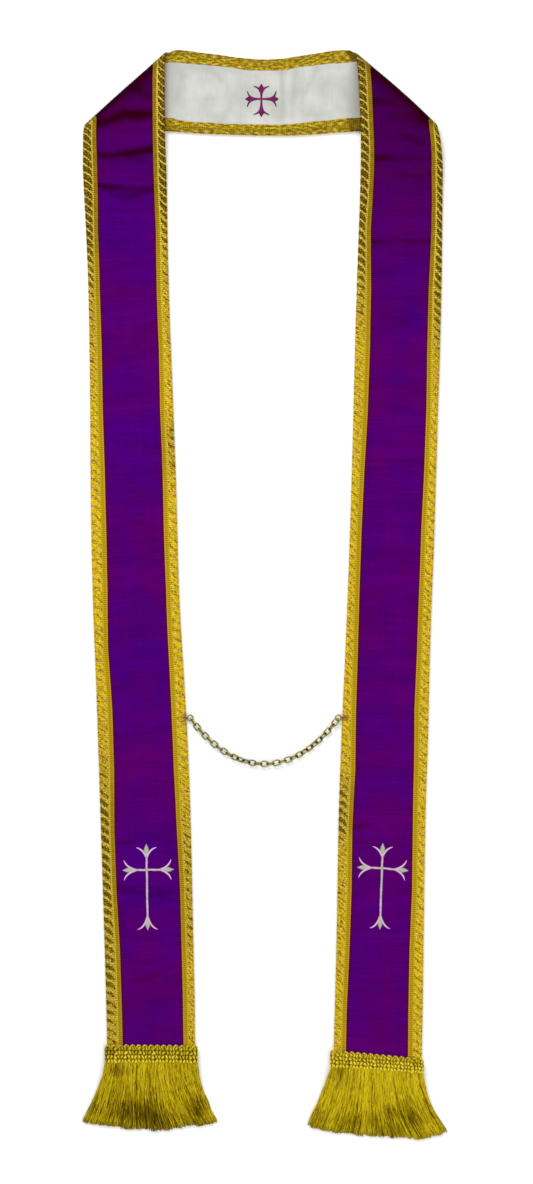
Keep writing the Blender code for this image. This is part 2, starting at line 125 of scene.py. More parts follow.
def addPiece(name, points, faces, material, body="stole", slot=None, nodes=(), uv=None, **values):
    # points is (count, 3) in metres; faces is a list of index arrays, one for each number of corners; uv
    # has two numbers a point, and every other named array gives one number a point, for the material.
    points = np.asarray(points, float).reshape(-1, 3)
    faces = turnedOutwards(points, faces)
    corners = np.concatenate([group.ravel() for group in faces]).astype(np.int32)
    sizes = np.concatenate([np.full(len(group), group.shape[1]) for group in faces])
    mesh = bpy.data.meshes.new(name)
    mesh.vertices.add(len(points))
    mesh.vertices.foreach_set("co", points.ravel())
    mesh.loops.add(len(corners))
    mesh.loops.foreach_set("vertex_index", corners)
    mesh.polygons.add(len(sizes))
    mesh.polygons.foreach_set("loop_start", (np.cumsum(sizes) - sizes).astype(np.int32))
    mesh.update(calc_edges=True)
    mesh.polygons.foreach_set("use_smooth", np.ones(len(sizes), bool))
    if uv is not None:
        layer = mesh.uv_layers.new(name="UVMap")
        layer.data.foreach_set("uv", np.asarray(uv, float).reshape(-1, 2)[corners].ravel())
    for label, column in values.items():
        numbers = mesh.attributes.new(label, "FLOAT", "POINT").data
        numbers.foreach_set("value", np.asarray(column, float).ravel())
    mesh.validate()
    mesh.materials.append(material)
    piece = bpy.data.objects.new(name, mesh)
    bpy.context.scene.collection.objects.link(piece)
    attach(piece, body)
    if nodes:
        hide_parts(*nodes)
    print(f"stole: {name}, {sum(len(g) * (g.shape[1] - 2) for g in faces)} triangles")
    return piece


def hexColour(text):
    # sRGB hex to linear light.
    values = [int(text[i : i + 2], 16) / 255 for i in (1, 3, 5)]
    return (*[v / 12.92 if v <= 0.04045 else ((v + 0.055) / 1.055) ** 2.4 for v in values], 1.0)


def addNode(tree, kind, settings=None, inputs=None):
    # One shader node. settings are its own properties; inputs are values, or the outputs that feed it.
    node = tree.nodes.new("ShaderNode" + kind)
    for key, value in (settings or {}).items():
        setattr(node, key, value)
    for key, value in (inputs or {}).items():
        if isinstance(value, bpy.types.NodeSocket):
            tree.links.new(value, node.inputs[key])
        else:
            node.inputs[key].default_value = value
    return node


def newMaterial(name, **sockets):
    # A Principled surface; its constant values go straight onto its sockets.
    material = bpy.data.materials.new(name)
    material.use_nodes = True
    shader = material.node_tree.nodes["Principled BSDF"]
    for key, value in sockets.items():
        shader.inputs[key.replace("_", " ")].default_value = value
    return material, material.node_tree


def mapped(tree, kind="UV"):
    # The place on a piece: on the strip laid out flat, or as "Object" in space, both in metres.
    return addNode(tree, "TexCoord").outputs[kind]


def attribute(tree, name):
    return addNode(tree, "Attribute", {"attribute_name": name}).outputs["Fac"]


def maths(tree, operation, *values, clamp=False):
    settings = {"operation": operation, "use_clamp": clamp}
    return addNode(tree, "Math", settings, dict(enumerate(values))).outputs[0]


def ranged(tree, value, start, end, low=0.0, high=1.0, smooth=True):
    # Runs from low to high as value goes from start to end, on an S curve or on a straight line.
    settings = {"interpolation_type": "SMOOTHSTEP" if smooth else "LINEAR"}
    inputs = {"Value": value, "From Min": start, "From Max": end, "To Min": low, "To Max": high}
    return addNode(tree, "MapRange", settings, inputs).outputs[0]


def mixed(tree, share, first, second, blend="MIX"):
    # The share of the way from the first colour to the second; each is a hex text or an output.
    first, second = (hexColour(c) if isinstance(c, str) else c for c in (first, second))
    settings = {"data_type": "RGBA", "blend_type": blend}
    return addNode(tree, "Mix", settings, {0: share, 6: first, 7: second}).outputs[2]


def noise(tree, place, scale, detail, roughness=0.5):
    # One scale for an even pattern, or three for a stretched one.
    if isinstance(scale, tuple):
        place = addNode(tree, "Mapping", None, {"Vector": place, "Scale": scale}).outputs[0]
        scale = 1.0
    inputs = {"Vector": place, "Scale": scale, "Detail": detail, "Roughness": roughness}
    return addNode(tree, "TexNoise", None, inputs).outputs["Fac"]


def threads(tree, place, spacing):
    # Ridges across the strip, this many mm apart: 0 between two of them and 0.5 on top.
    along = addNode(tree, "SeparateXYZ", None, {0: place}).outputs["Y"]
    return maths(tree, "PINGPONG", maths(tree, "MULTIPLY", along, 1000 / spacing), 0.5)


def ramped(tree, value, stops):
    # A colour ramp with these positions and hex colours.
    node = addNode(tree, "ValToRGB", None, {"Fac": value})
    elements = node.color_ramp.elements
    while len(elements) < len(stops):
        elements.new(0.5)
    for element, (position, colour) in zip(elements, stops):
        element.position = position
        element.color = hexColour(colour)
    return node.outputs[0]


def feedSurface(tree, colour, height=None, strength=0.0, distance=0.0):
    # Gives the surface its colour and, where there is a height, its bump.
    shader = tree.nodes["Principled BSDF"]
    tree.links.new(colour, shader.inputs["Base Color"])
    if height is not None:
        bump = addNode(tree, "Bump", None, {"Height": height, "Strength": strength, "Distance": distance})
        tree.links.new(bump.outputs[0], shader.inputs["Normal"])


# The strip is laid out row by row, from the left hem over the neck to the right hem. Lengths are in mm.
strip = {
    "plyGap": 0.3,
    "plyTop": 1.15,  # from the middle surface to the face of the cloth
    "plyInset": 2.0,
    "edgeHeight": 2.45,
    "panelSag": 1.3,
    "sagReach": 8.0,
    "foldRadius": 2.9,
    "foldBow": 1.5,  # how far the right fold's middle is bowed outwards
    "bowReach": 26,
    "neckWide": 12.8,  # the galloon's width on the neck's rows before any lean, for its pattern
    "neckBlend": 11,  # how far past a band's end the galloon has its full neck width
    "wideLimits": (4.0, 24.0),  # the least and the most that the galloon reaches along a neck row
    "slopeReach": 15,  # an edge's direction is read this far to either side
    "faceStep": 2.0,
    "galloonStep": 1.15,
    "foldStep": 0.9,
}

# y, x of the inner edge, x of the outer edge, and how wide the galloon shows at the inner and the outer
# edge, in mm. The trim is sewn on by hand, so it wanders a little.
bandEdges = {
    "left": [
        (614, -114, -205.4, 13.8, 14.6), (540, -113.6, -206.2, 13.9, 14.6), (518, -113.1, -206.6, 14.2, 15.1),
        (484, -111.9, -206.9, 14.8, 16.4), (450, -111.2, -205.4, 14.3, 15.5),
        (415, -110.8, -203.4, 13.2, 13.8), (347, -109.2, -200.8, 13.8, 13.1), (279, -107.5, -199.6, 13.7, 14),
        (210, -103.7, -198.6, 15, 14.5), (142, -101.5, -198.5, 14.9, 16.4), (73, -99.2, -197.6, 15.4, 17.3),
        (5, -97.6, -196.1, 14.7, 17.2), (-63, -93.9, -192.8, 15.8, 15.4), (-132, -89.6, -191.3, 16.4, 17.6),
        (-200, -86.3, -189.1, 17.2, 17.4), (-268, -83.8, -185.8, 16, 15.5), (-337, -83, -183.7, 13.8, 15.6),
        (-405, -81, -182.2, 13.5, 17.5), (-474, -79.5, -180.2, 13.4, 17.8), (-533, -79.2, -179, 13, 17.8),
    ],
    "right": [
        (611, 106, 197.9, 14.4, 10.6), (532, 109.6, 198, 14.6, 10.4), (518, 109.9, 200.6, 15, 11.2),
        (501, 109.9, 202.5, 15.2, 12.2), (484, 109.6, 203.3, 15.4, 13), (450, 108.9, 203, 14.5, 12.3),
        (415, 107.6, 202.6, 13.7, 12.4), (347, 105.2, 201.9, 16.4, 14.6), (279, 103.1, 200, 17.2, 14.6),
        (210, 101.4, 197.5, 16.4, 13.4), (142, 99.9, 196, 14.3, 13.7), (73, 97.6, 193.7, 13.2, 15),
        (5, 95, 191, 13.3, 14.8), (-63, 92.4, 188.6, 14.2, 14.8), (-132, 89.2, 187.6, 15.3, 16.3),
        (-200, 86.2, 185, 17.2, 14.9), (-268, 84.3, 183, 15.9, 14.1), (-337, 83.1, 181.6, 16.2, 13.9),
        (-405, 82, 181.2, 15, 15.9), (-474, 80.2, 180.3, 13.6, 16.4), (-543, 78.2, 178.8, 14.2, 15.5),
    ],
}

# Across the neck: x and y where each galloon's selvedge meets the satin.
neckBorders = {
    "inner": [
        (-111.7, 605), (-109.4, 605.9), (-100.3, 606), (-91.2, 605.1), (-73, 603.5), (-54.7, 601.9),
        (-36.5, 600.1), (-27.4, 598.2), (-18.2, 596.9), (0, 596.8), (18.2, 596.7), (27.4, 597.9),
        (36.5, 600.4), (54.7, 602.3), (73, 604.7), (91.2, 605.3), (98, 606.2), (107, 606.8),
    ],
    "outer": [
        (-111.7, 543.9), (-104.9, 543.1), (-98, 541.2), (-82.1, 538.8), (-63.8, 538.2), (-45.6, 536.8),
        (-27.4, 536.3), (18.2, 535.8), (36.5, 537.1), (54.7, 539.3), (73, 540.7), (86.6, 542.6),
        (102.6, 543.6), (107, 543.8),
    ],
}

# How far each edge is moved in plan near the folds' corners, where the cloth was pressed unevenly: the
# distance along the strip, x and y.
cornerShifts = {
    "inner": [
        (1090, 0, 0), (1099, 0.3, -0.6), (1108, 1.2, -1.6), (1113, 0.9, -1.3), (1119, 0.2, -0.2),
        (1126, 0, 0.4), (1380, 0, 0.2), (1391, 0.2, 0.4), (1398, 0.2, 1.4), (1407, 0.2, 2.7), (1414, 0, 2.9),
        (1419, -0.2, 1.4), (1424, -1.1, -1.7), (1431, -0.6, -1), (1442, 0, 0),
    ],
    "outer": [
        (1045, 0, 0), (1065, 0, -0.6), (1085, 0.1, -1.4), (1103, 0.5, -2.2), (1112, 0.8, -2.2),
        (1125, 0.2, -0.6), (1135, 0, -0.4), (1390, 0, -0.4), (1410, -0.3, -0.6), (1420, -0.8, -2.2),
        (1428, -0.5, -2.2), (1447, -0.1, -1.4), (1467, 0, -0.6), (1487, 0, 0),
    ],
}

# From the crease to the hem: y at the inner edge, y at the outer edge, the share of the fold's height that is
# left, and the height of a soft cross fold in mm.
bandRows = {
    "left": [
        (613.8, 530.9, 1, 0), (591, 529.2, 1, 0.2), (567, 527.3, 1, 1.2), (545, 525, 1, 0.1),
        (526, 521.5, 1, 0), (517, 511, 0.92, 0.2), (508.5, 497.5, 0.76, 1.4), (498.5, 487.5, 0.6, 0.1),
        (484, 479, 0.4, 0), (469, 468, 0.22, 1), (456.5, 456.5, 0.1, 0.3), (444, 443, 0.03, 0.6),
        (428, 428, 0, 0), (347, 347, 0, 0), (233, 233, 0, 0), (119, 119, 0, 0), (5, 5, 0, 0),
        (-109, -109, 0, 0), (-223, -223, 0, 0), (-400, -400, 0, 0), (-436, -438, 0, 0.7), (-462, -462, 0, 0),
        (-530.8, -530.6, 0, 0),
    ],
    "right": [
        (611, 531, 1, 0), (586, 529.5, 1, 0.2), (560, 528, 1, 0.7), (540, 525.5, 1, 0), (526, 521, 1, 1),
        (514, 510, 0.9, 0.1), (499, 499, 0.74, 1.2), (489, 487.5, 0.56, 0.1), (477, 477, 0.38, 1),
        (463, 463, 0.18, 0.1), (449, 449, 0.05, 0), (434, 434, 0, 0), (405, 404, 0, 0.9), (385, 385, 0, 0),
        (290, 290, 0, 0), (176, 176, 0, 0), (62, 62, 0, 0), (-52, -52, 0, 0), (-166, -166, 0, 0),
        (-250, -250, 0, 0), (-400, -400, 0, 0), (-470, -470, 0, 0), (-534.8, -541.6, 0, 0),
    ],
}

# Across the neck: x and y at the upper edge, x and y at the lower edge, and the height of a soft fold in mm.
neckRows = [
    (-98.6, 620.4, -170.5, 533, 0), (-87.2, 619.4, -140.8, 530.3, 0.3), (-71.3, 617.3, -105.5, 528.4, 0),
    (-50.7, 614.8, -69, 525.9, 0.6), (-30.2, 611.8, -37.1, 524.8, 0), (-0.6, 609.7, -0.6, 523.8, 0),
    (22.2, 610.9, 24.5, 523.8, 0), (32.5, 612.5, 37.1, 524.1, 0.9), (43.9, 614.3, 54.2, 525, 0),
    (63.3, 617.3, 80.4, 527, 0.5), (78.1, 619.6, 108.9, 528.8, 0), (89.5, 620.4, 137.4, 530.3, 0.3),
    (94.6, 618.7, 165.9, 532, 0),
]

edgeTables = {side: np.array(rows, float)[::-1] for side, rows in bandEdges.items()}


def edgeAt(side, column, y):
    # A column of a band's edge table at these y.
    return np.interp(y, edgeTables[side][:, 0], edgeTables[side][:, column])


def bandTable(side):
    # Columns of a band's rows, from the crease down: inner x, y, outer x, y, share of the fold's height,
    # lift.
    rows = np.array(bandRows[side], float)
    innerX, outerX = edgeAt(side, 1, rows[:, 0]), edgeAt(side, 2, rows[:, 1])
    return np.column_stack([innerX, rows[:, 0], outerX, rows[:, 1], rows[:, 2], rows[:, 3]])


def middles(table):
    return (table[:, 0:2] + table[:, 2:4]) / 2


def squareWidths(table):
    # The width square to the strip's direction, which runs through the middles of the rows.
    direction = unit(np.gradient(middles(table), axis=0))
    span = table[:, 2:4] - table[:, 0:2]
    return abs(span[:, 0] * direction[:, 1] - span[:, 1] * direction[:, 0])


def foldOf(table):
    # How the strip goes round its crease: the crease's direction, the way out of the fold, and how far it
    # slides along the crease for each unit that it travels round.
    along = unit(table[0, 2:4] - table[0, 0:2])
    travel = unit(middles(table)[1] - middles(table)[0])
    outward = -unit(travel - along * travel.dot(along))
    slip = travel.dot(along) / abs(travel[0] * along[1] - travel[1] * along[0])
    return along, outward, slip


def layStrip():
    # The whole strip's stretches against the distance s along its middle: two bands, two folds and the
    # neck. The end rows of the neck are the bands' first rows, slid back along the crease as far as the
    # fold slides them.
    radius = strip["foldRadius"]
    bands = {side: bandTable(side) for side in ("left", "right")}
    folds = {side: foldOf(bands[side]) for side in bands}
    ends = []
    for side in bands:
        along, _, slip = folds[side]
        shift = along * math.pi * radius * slip
        ends.append(np.concatenate([bands[side][0, 0:2] - shift, bands[side][0, 2:4] - shift, [0.0]]))
    neck = np.vstack([ends[0], np.array(neckRows), ends[1]])
    neck = np.column_stack([neck[:, :4], np.zeros(len(neck)), neck[:, 4]])
    tables = {"left": bands["left"][::-1], "neck": neck, "right": bands["right"]}
    stretches, start = [], 0.0
    for name in ("left", "leftFold", "neck", "rightFold", "right"):
        stretch = {"name": name, "side": name.removesuffix("Fold"), "start": start}
        if name in tables:
            stretch["knots"] = start + lengthsAlong(middles(tables[name]))
            stretch["columns"] = np.column_stack([tables[name], squareWidths(tables[name])])
            stretch["end"] = stretch["knots"][-1]
        else:
            stretch["end"] = start + math.pi * radius * math.hypot(1.0, folds[stretch["side"]][2])
        stretches.append(stretch)
        start = stretch["end"]
    return stretches, folds, start


stretches, folds, stripLength = layStrip()
print(f"stole: the strip is {stripLength:.0f} mm long")


def flatRows(place, s):
    # On a flat stretch the rows are read from smooth curves through its table.
    stretch = stretches[place]
    values = smoothCurve(s, stretch["knots"], stretch["columns"])
    isBand = stretch["name"] != "neck"
    return {
        "inner": values[:, 0:2],
        "outer": values[:, 2:4],
        "turn": np.full(len(s), math.pi if isBand else 0.0),
        "outward": np.tile(folds[stretch["side"]][1] if isBand else (0.0, 0.0), (len(s), 1)),
        "drop": 2 * strip["foldRadius"] * (1 - values[:, 4]) if isBand else np.zeros(len(s)),
        "lift": values[:, 5],
        "width": values[:, 6],
    }


def foldRows(place, s):
    # On a fold the turn goes evenly from 0 to pi while the row slides along the crease.
    stretch = stretches[place]
    along, outward, slip = folds[stretch["side"]]
    share = (s - stretch["start"]) / (stretch["end"] - stretch["start"])
    turn = math.pi * (1 - share if stretch["side"] == "left" else share)
    crease = bandTable(stretch["side"])[0]
    shift = along * ((math.pi - turn) * strip["foldRadius"] * slip)[:, None]
    before, after = stretches[place - 1]["columns"][-1, 6], stretches[place + 1]["columns"][0, 6]
    return {
        "inner": crease[0:2] - shift,
        "outer": crease[2:4] - shift,
        "turn": turn,
        "outward": np.tile(outward, (len(s), 1)),
        "drop": np.zeros(len(s)),
        "lift": np.zeros(len(s)),
        "width": before + (after - before) * share,
    }


def layEdge(rows, edge, ways):
    # One long edge: its length so far, how far each row leans along it, and how wide the galloon lies on
    # it, both square to the edge and along the row.
    isInner = edge == "inner"
    wideColumn, placeColumn = (3, 1) if isInner else (4, 2)
    isNeck = rows["isNeck"]

    def read(column, y):
        return np.where(rows["onLeft"], edgeAt("left", column, y), edgeAt("right", column, y))

    plan = rows[edge] - rows[edge + "Pull"]
    plan = plan + rows["outward"] * (strip["foldRadius"] * np.sin(rows["turn"]))[:, None]
    path = np.column_stack([plan, rows["height"]])
    band = read(wideColumn, plan[:, 1])
    # on the bands the rows bunch up beside the folds, so the direction is read from the table
    half = strip["slopeReach"]
    slope = (read(placeColumn, plan[:, 1] + half) - read(placeColumn, plan[:, 1] - half)) / (2 * half)
    upwards = np.where(rows["onLeft"], 1, -1)[:, None]
    onBand = np.stack([slope, np.ones_like(slope), np.zeros_like(slope)], axis=1) * upwards
    ahead = unit(np.where(rows["isBand"][:, None], onBand, np.gradient(path, axis=0)))
    lean = (ahead[:, :2] * ways).sum(axis=1)
    square = np.sqrt(1 - lean**2)
    # on the neck the galloon reaches to where its row crosses the selvedge's line, found by stepping
    # towards it. The line wavers as a hand-sewn edge does: 0.65 + 0.15 sin(x / 2.3) + 0.12 sin(x / 0.9 + 1)
    # mm, upwards at the inner edge, and 0.6 of that downwards at the outer one
    way = ways[isNeck] if isInner else -ways[isNeck]
    start = rows[edge][isNeck]
    neck = np.full(len(way), strip["neckWide"])
    for _ in range(8):
        x = start[:, 0] + way[:, 0] * neck
        level = fromTable(neckBorders[edge], x)
        level += (0.65 + 0.15 * np.sin(x / 2.3) + 0.12 * np.sin(x / 0.9 + 1)) * (1 if isInner else -0.6)
        neck = np.clip((level - start[:, 1]) / way[:, 1], *strip["wideLimits"])
    neck = np.interp(rows["s"], rows["s"][isNeck], neck)
    wide = band + (strip["neckWide"] - band) * rows["neckShare"]
    reach = band / square * (1 - rows["neckShare"]) + neck * rows["neckShare"]
    rows[edge + "Arc"] = lengthsAlong(path)
    rows[edge + "Lean"] = np.where(isNeck, ways[:, 0], lean)
    rows[edge + "Square"] = wide / reach
    rows[edge + "Wide"] = wide
    rows[edge + "Galloon"] = reach / rows["longer"]


def sampleStrip(step):
    # The rows at an even step, closer on the folds. Every array has one entry for each row, in mm and
    # radians.
    parts = []
    for place, stretch in enumerate(stretches):
        isFold = stretch["name"].endswith("Fold")
        spacing = strip["foldStep"] if isFold else step
        count = max(2, round((stretch["end"] - stretch["start"]) / spacing))
        s = np.linspace(stretch["start"], stretch["end"], count + 1)
        if place < len(stretches) - 1:
            s = s[:-1]
        part = (foldRows if isFold else flatRows)(place, s)
        parts.append({**part, "s": s, "place": np.full(len(s), place)})
    rows = {name: np.concatenate([part[name] for part in parts]) for name in parts[0]}
    leftStart, rightEnd = stretches[1]["start"], stretches[3]["end"]
    rows["onLeft"] = rows["s"] < stripLength / 2
    rows["isNeck"] = rows["place"] == 2
    rows["isBand"] = np.isin(rows["place"], (0, 4))
    rows["isFold"] = np.isin(rows["place"], (1, 3))
    rows["foldAway"] = np.minimum(abs(rows["s"] - leftStart), abs(rows["s"] - rightEnd))
    between = (rows["s"] > leftStart) & (rows["s"] < rightEnd)
    rows["neckShare"] = np.where(between, softStep(rows["foldAway"] / strip["neckBlend"]), 0.0)
    for edge in ("inner", "outer"):
        s, *shifts = np.array(cornerShifts[edge], float).T
        rows[edge + "Pull"] = np.stack([np.interp(rows["s"], s, shift) for shift in shifts], axis=1)
        rows[edge] = rows[edge] + rows[edge + "Pull"]
    fromFold = rows["s"] - (stretches[3]["start"] + stretches[3]["end"]) / 2
    rows["bow"] = strip["foldBow"] * bell(fromFold, strip["bowReach"])[:, None] * folds["right"][1]
    rows["height"] = strip["edgeHeight"] + strip["foldRadius"] * (1 - np.cos(rows["turn"])) - rows["drop"]
    ways = rows["outer"] - rows["inner"]
    rows["longer"] = np.linalg.norm(ways, axis=1) / rows["width"]
    for edge in ("inner", "outer"):
        layEdge(rows, edge, unit(ways))
    return rows


# Soft creases: the stretch, the crease's height in mm, and the points along it as x, y, how far it
# spreads and how much darker the cloth looks there, as painted shade. A height of 0 draws a crease as painted
# shade only, with no relief.
creases = [
    ("left", 0.25, [(-191, 536, 5.5, 0.55), (-176, 540, 6.5, 0.6), (-160, 547, 7.5, 0.7), (-144, 546, 7, 0.8),
     (-129, 547, 5.5, 0.65)]),
    ("left", 0, [(-190, 536, 3.5, 0.35), (-181, 538, 3.5, 0.15)]),
    ("left", 0.2, [(-154, 582, 4.5, 0.2), (-144, 575, 5, 0.35), (-132, 566, 5, 0.3)]),
    ("left", 0.5, [(-190, 501, 4, 0.75), (-176, 500, 4, 0.8), (-149, 504, 5, 0.8), (-128, 507, 5, 0.9)]),
    ("left", 0, [(-156, 498, 4.5, 0.2), (-141, 494, 5, 0.35), (-132, 491, 4.5, 0.15)]),
    ("left", 0.5, [(-190, 467, 3, 0.85), (-183, 465, 3.5, 0.95), (-167, 464, 3.5, 0.75), (-149, 462, 4, 0.5),
     (-128, 463, 4.5, 0.45)]),
    ("left", 0.3, [(-176, 458, 4, 0.3), (-160, 453, 4.5, 0.55), (-145, 455, 5, 0.5), (-129, 460, 4.5, 0.3)]),
    ("left", 0, [(-189, 438, 2, 0.2), (-174, 439, 2, 0.25), (-158, 440, 2, 0.1)]),
    ("left", 0, [(-190, 412, 3.5, 0.15), (-167, 414, 4.5, 0.1)]),
    ("left", 0.1, [(-184, 372, 3.5, 0.1), (-142, 379, 4.5, 0.1)]),
    ("left", 0, [(-173, -283, 2, 0.3), (-162, -283, 2.5, 0.5), (-146, -281, 2.5, 0.4),
     (-121, -279, 3.5, 0.25), (-101, -281, 2.5, 0.2)]),
    ("left", 0, [(-156, -275, 2.5, 0.15), (-130, -273, 3.5, 0.2), (-108, -276, 3.5, 0.1)]),
    ("left", 0.1, [(-168, -335, 4, 0.45), (-153, -338, 4, 0.35), (-134, -341, 4, 0.2), (-119, -341, 5, 0.4),
     (-99, -337, 3.5, 0.15)]),
    ("left", 0.1, [(-158, -441, 2.5, 0.25), (-144, -440, 3, 0.4), (-128, -436, 3.5, 0.3),
     (-112, -429, 3.5, 0.15)]),
    ("left", 0, [(-156, -463, 3, 0), (-130, -462, 4.5, 0.15), (-110, -466, 3.5, 0.1)]),
    ("right", 0, [(125, 562, 4, 0.45), (134, 561, 4.5, 0.35), (150, 559, 5.5, 0.1)]),
    ("right", 0.1, [(149, 543, 7, 0.15), (168, 544, 9, 0.25), (184, 540, 9, 0.45)]),
    ("right", 0.15, [(150, 527, 4, 0.1), (162, 521, 4.5, 0.3), (178, 515, 4, 0.3)]),
    ("right", 0.3, [(125, 496, 4, 0.5), (136, 498, 4.5, 0.55), (150, 496, 3.5, 0.3), (188, 499, 3.5, 0.1)]),
    ("right", 0.2, [(148, 483, 4, 0.1), (161, 478, 3.5, 0.25), (175, 477, 3.5, 0.3), (189, 478, 3.5, 0.25)]),
    ("right", 0.3, [(121, 402, 3, 0.5), (133, 402, 3, 0.4), (149, 405, 3, 0.2), (166, 403, 3, 0.4),
     (188, 402, 3, 0.4)]),
    ("right", 0.1, [(118, 153, 1.5, 0.3), (149, 152, 1.5, 0.3), (182, 151, 1.5, 0.1)]),
    ("right", 0, [(101, -266, 2, 0.6), (111, -264, 2.5, 0.5), (124, -262, 2, 0.1)]),
    ("right", 0, [(100, -280, 1.5, 0.25), (118, -283, 2, 0.25), (145, -286, 2, 0.1)]),
    ("right", 0.1, [(116, -478, 3, 0.05), (132, -476, 3.5, 0.15), (152, -469, 3, 0.1)]),
    ("right", 0, [(111, -503, 3.5, 0.05), (132, -501, 3.5, 0.1), (159, -502, 3.5, 0.05)]),
    ("neck", 0.45, [(19, 607, 2.5, 0.35), (20, 575, 3, 0.35), (21, 540, 3, 0.2)]),
    ("neck", 0.2, [(27, 605, 2.5, -0.2), (27, 569, 3, -0.2), (28, 541, 2.5, -0.1)]),
    ("neck", 0.3, [(35, 607, 2.5, 0.3), (34, 581, 3.5, 0.2), (31, 542, 3.5, 0.2)]),
    ("neck", 0.3, [(59, 600, 3.5, 0.35), (53, 586, 3.5, 0.25), (44, 568, 4, 0.2), (38, 550, 3.5, 0.05)]),
    ("neck", 0.2, [(66, 598, 5.5, -0.1), (55, 569, 7, -0.15), (51, 543, 5.5, -0.1)]),
    ("neck", 0.2, [(-63, 601, 3.5, 0.1), (-55, 593, 4, 0.25), (-47, 584, 3.5, 0.1)]),
    ("neck", 0.2, [(-96, 597, 3.5, 0.2), (-93, 582, 4.5, 0.2), (-100, 564, 4.5, 0.15)]),
    ("neck", 0.2, [(-83, 566, 3.5, 0.05), (-68, 566, 3, 0.15), (-48, 567, 3, 0.05)]),
    ("neck", 0.2, [(-37, 560, 4.5, 0.05), (-44, 550, 4.5, 0.2), (-50, 540, 4.5, 0.15)]),
    ("neck", 0.1, [(-74, 580, 7, -0.1), (-78, 555, 7, -0.05)]),
    ("neck", 0.3, [(109, 607, 10, 0.75), (105, 575, 9, 0.75), (104, 541, 9, 0.7)]),
    ("neck", 0.3, [(-112, 607, 9, 0.4), (-111, 575, 9, 0.4), (-112, 539, 9, 0.4)]),
]

# Faint folds from carrying the stole folded up: the middle of each band's crease, as x and y.
faintFolds = {
    "left": [(-149, 162), (-148, 74), (-144, -38), (-140, -168)],
    "right": [(152, 302), (145, 39), (140, -120)],
}
for bandName, foldPlaces in faintFolds.items():
    for foldX, foldY in foldPlaces:
        # each faint fold is a low ridge with a little painted shade along it
        line = [(foldX - 31, foldY, 3.5, 0.05), (foldX, foldY + 6, 4.5, 0.1), (foldX + 31, foldY, 3.5, 0.05)]
        creases.append((bandName, 0.15, line))

# Painted shade along each band, by y, deepening towards the fold: 0 is plain, 1 as dark as a crease.
bandShades = {
    "left": [
        (-600, 0.02), (380, 0), (430, 0.04), (470, 0.08), (500, 0.16), (530, 0.3), (575, 0.42), (620, 0.66),
    ],
    "right": [
        (-600, 0), (200, 0), (330, 0.1), (400, 0.2), (470, 0.34), (530, 0.5), (560, 0.48), (590, 0.4),
        (620, 0.36),
    ],
}

# The silk is woven from two purples, and their balance drifts along the strip: 0 is blue violet, 1 magenta.
# It swings in waves along each band, about the band's own balance, with a shorter ripple on top.
silkHue = {
    "wave": 250.0,
    "ripple": 66.0,
    "rippleSwing": 0.12,
    "left": {"balance": 0.48, "swing": 0.34, "crest": -200.0},
    "right": {"balance": 0.66, "swing": 0.16, "crest": -29.0},
}


def hueAlong(side, y):
    # Balance + swing x cos(turns of the wave since its crest) + ripple x sin(turns of the ripple).
    plan = silkHue[side]
    wave = plan["swing"] * np.cos(2 * math.pi * (y - plan["crest"]) / silkHue["wave"])
    ripple = silkHue["rippleSwing"] * np.sin(2 * math.pi * y / silkHue["ripple"])
    return plan["balance"] + wave + ripple


def asColumns(rows, *names):
    # These arrays as columns, for grids with one row for each entry.
    return [rows[name][:, None] for name in names]


def creaseFields(rows, x, y):
    # Height and painted shade at every point. A crease is a bell across its line, whose width and depth run
    # evenly from one of its points to the next; it fades past its two ends, and slow waves along the strip
    # lie under all.
    height, dark = np.zeros_like(x), np.zeros_like(x)
    places = {stretch["name"]: place for place, stretch in enumerate(stretches)}
    for name, lift, line in creases:
        picked = np.flatnonzero(rows["place"] == places[name])
        px, py = x[picked], y[picked]
        best = np.zeros_like(px)
        for (x0, y0, spread0, shade0), (x1, y1, spread1, shade1) in zip(line, line[1:]):
            run = (x1 - x0) ** 2 + (y1 - y0) ** 2
            near = np.clip(((px - x0) * (x1 - x0) + (py - y0) * (y1 - y0)) / run, 0.0, 1.0)
            away = np.hypot(px - x0 - (x1 - x0) * near, py - y0 - (y1 - y0) * near)
            shade = shade0 + (shade1 - shade0) * near
            hump = shade * bell(away, spread0 + (spread1 - spread0) * near)
            best = np.where(abs(hump) > abs(best), hump, best)
        height[picked] += lift * best
        dark[picked] += best
    s = rows["s"][:, None]
    slow = 0.22 * (1 + np.sin(s / 23.0 + 1.4 * np.sin(s / 71.0) + 0.02 * x)) / 2
    return height + slow, dark


def bandValues(rows, tables, y):
    # Reads a table by y on each point of the two bands; the neck takes the value at the band's fold.
    return np.where(rows["onLeft"][:, None], fromTable(tables["left"], y), fromTable(tables["right"], y))


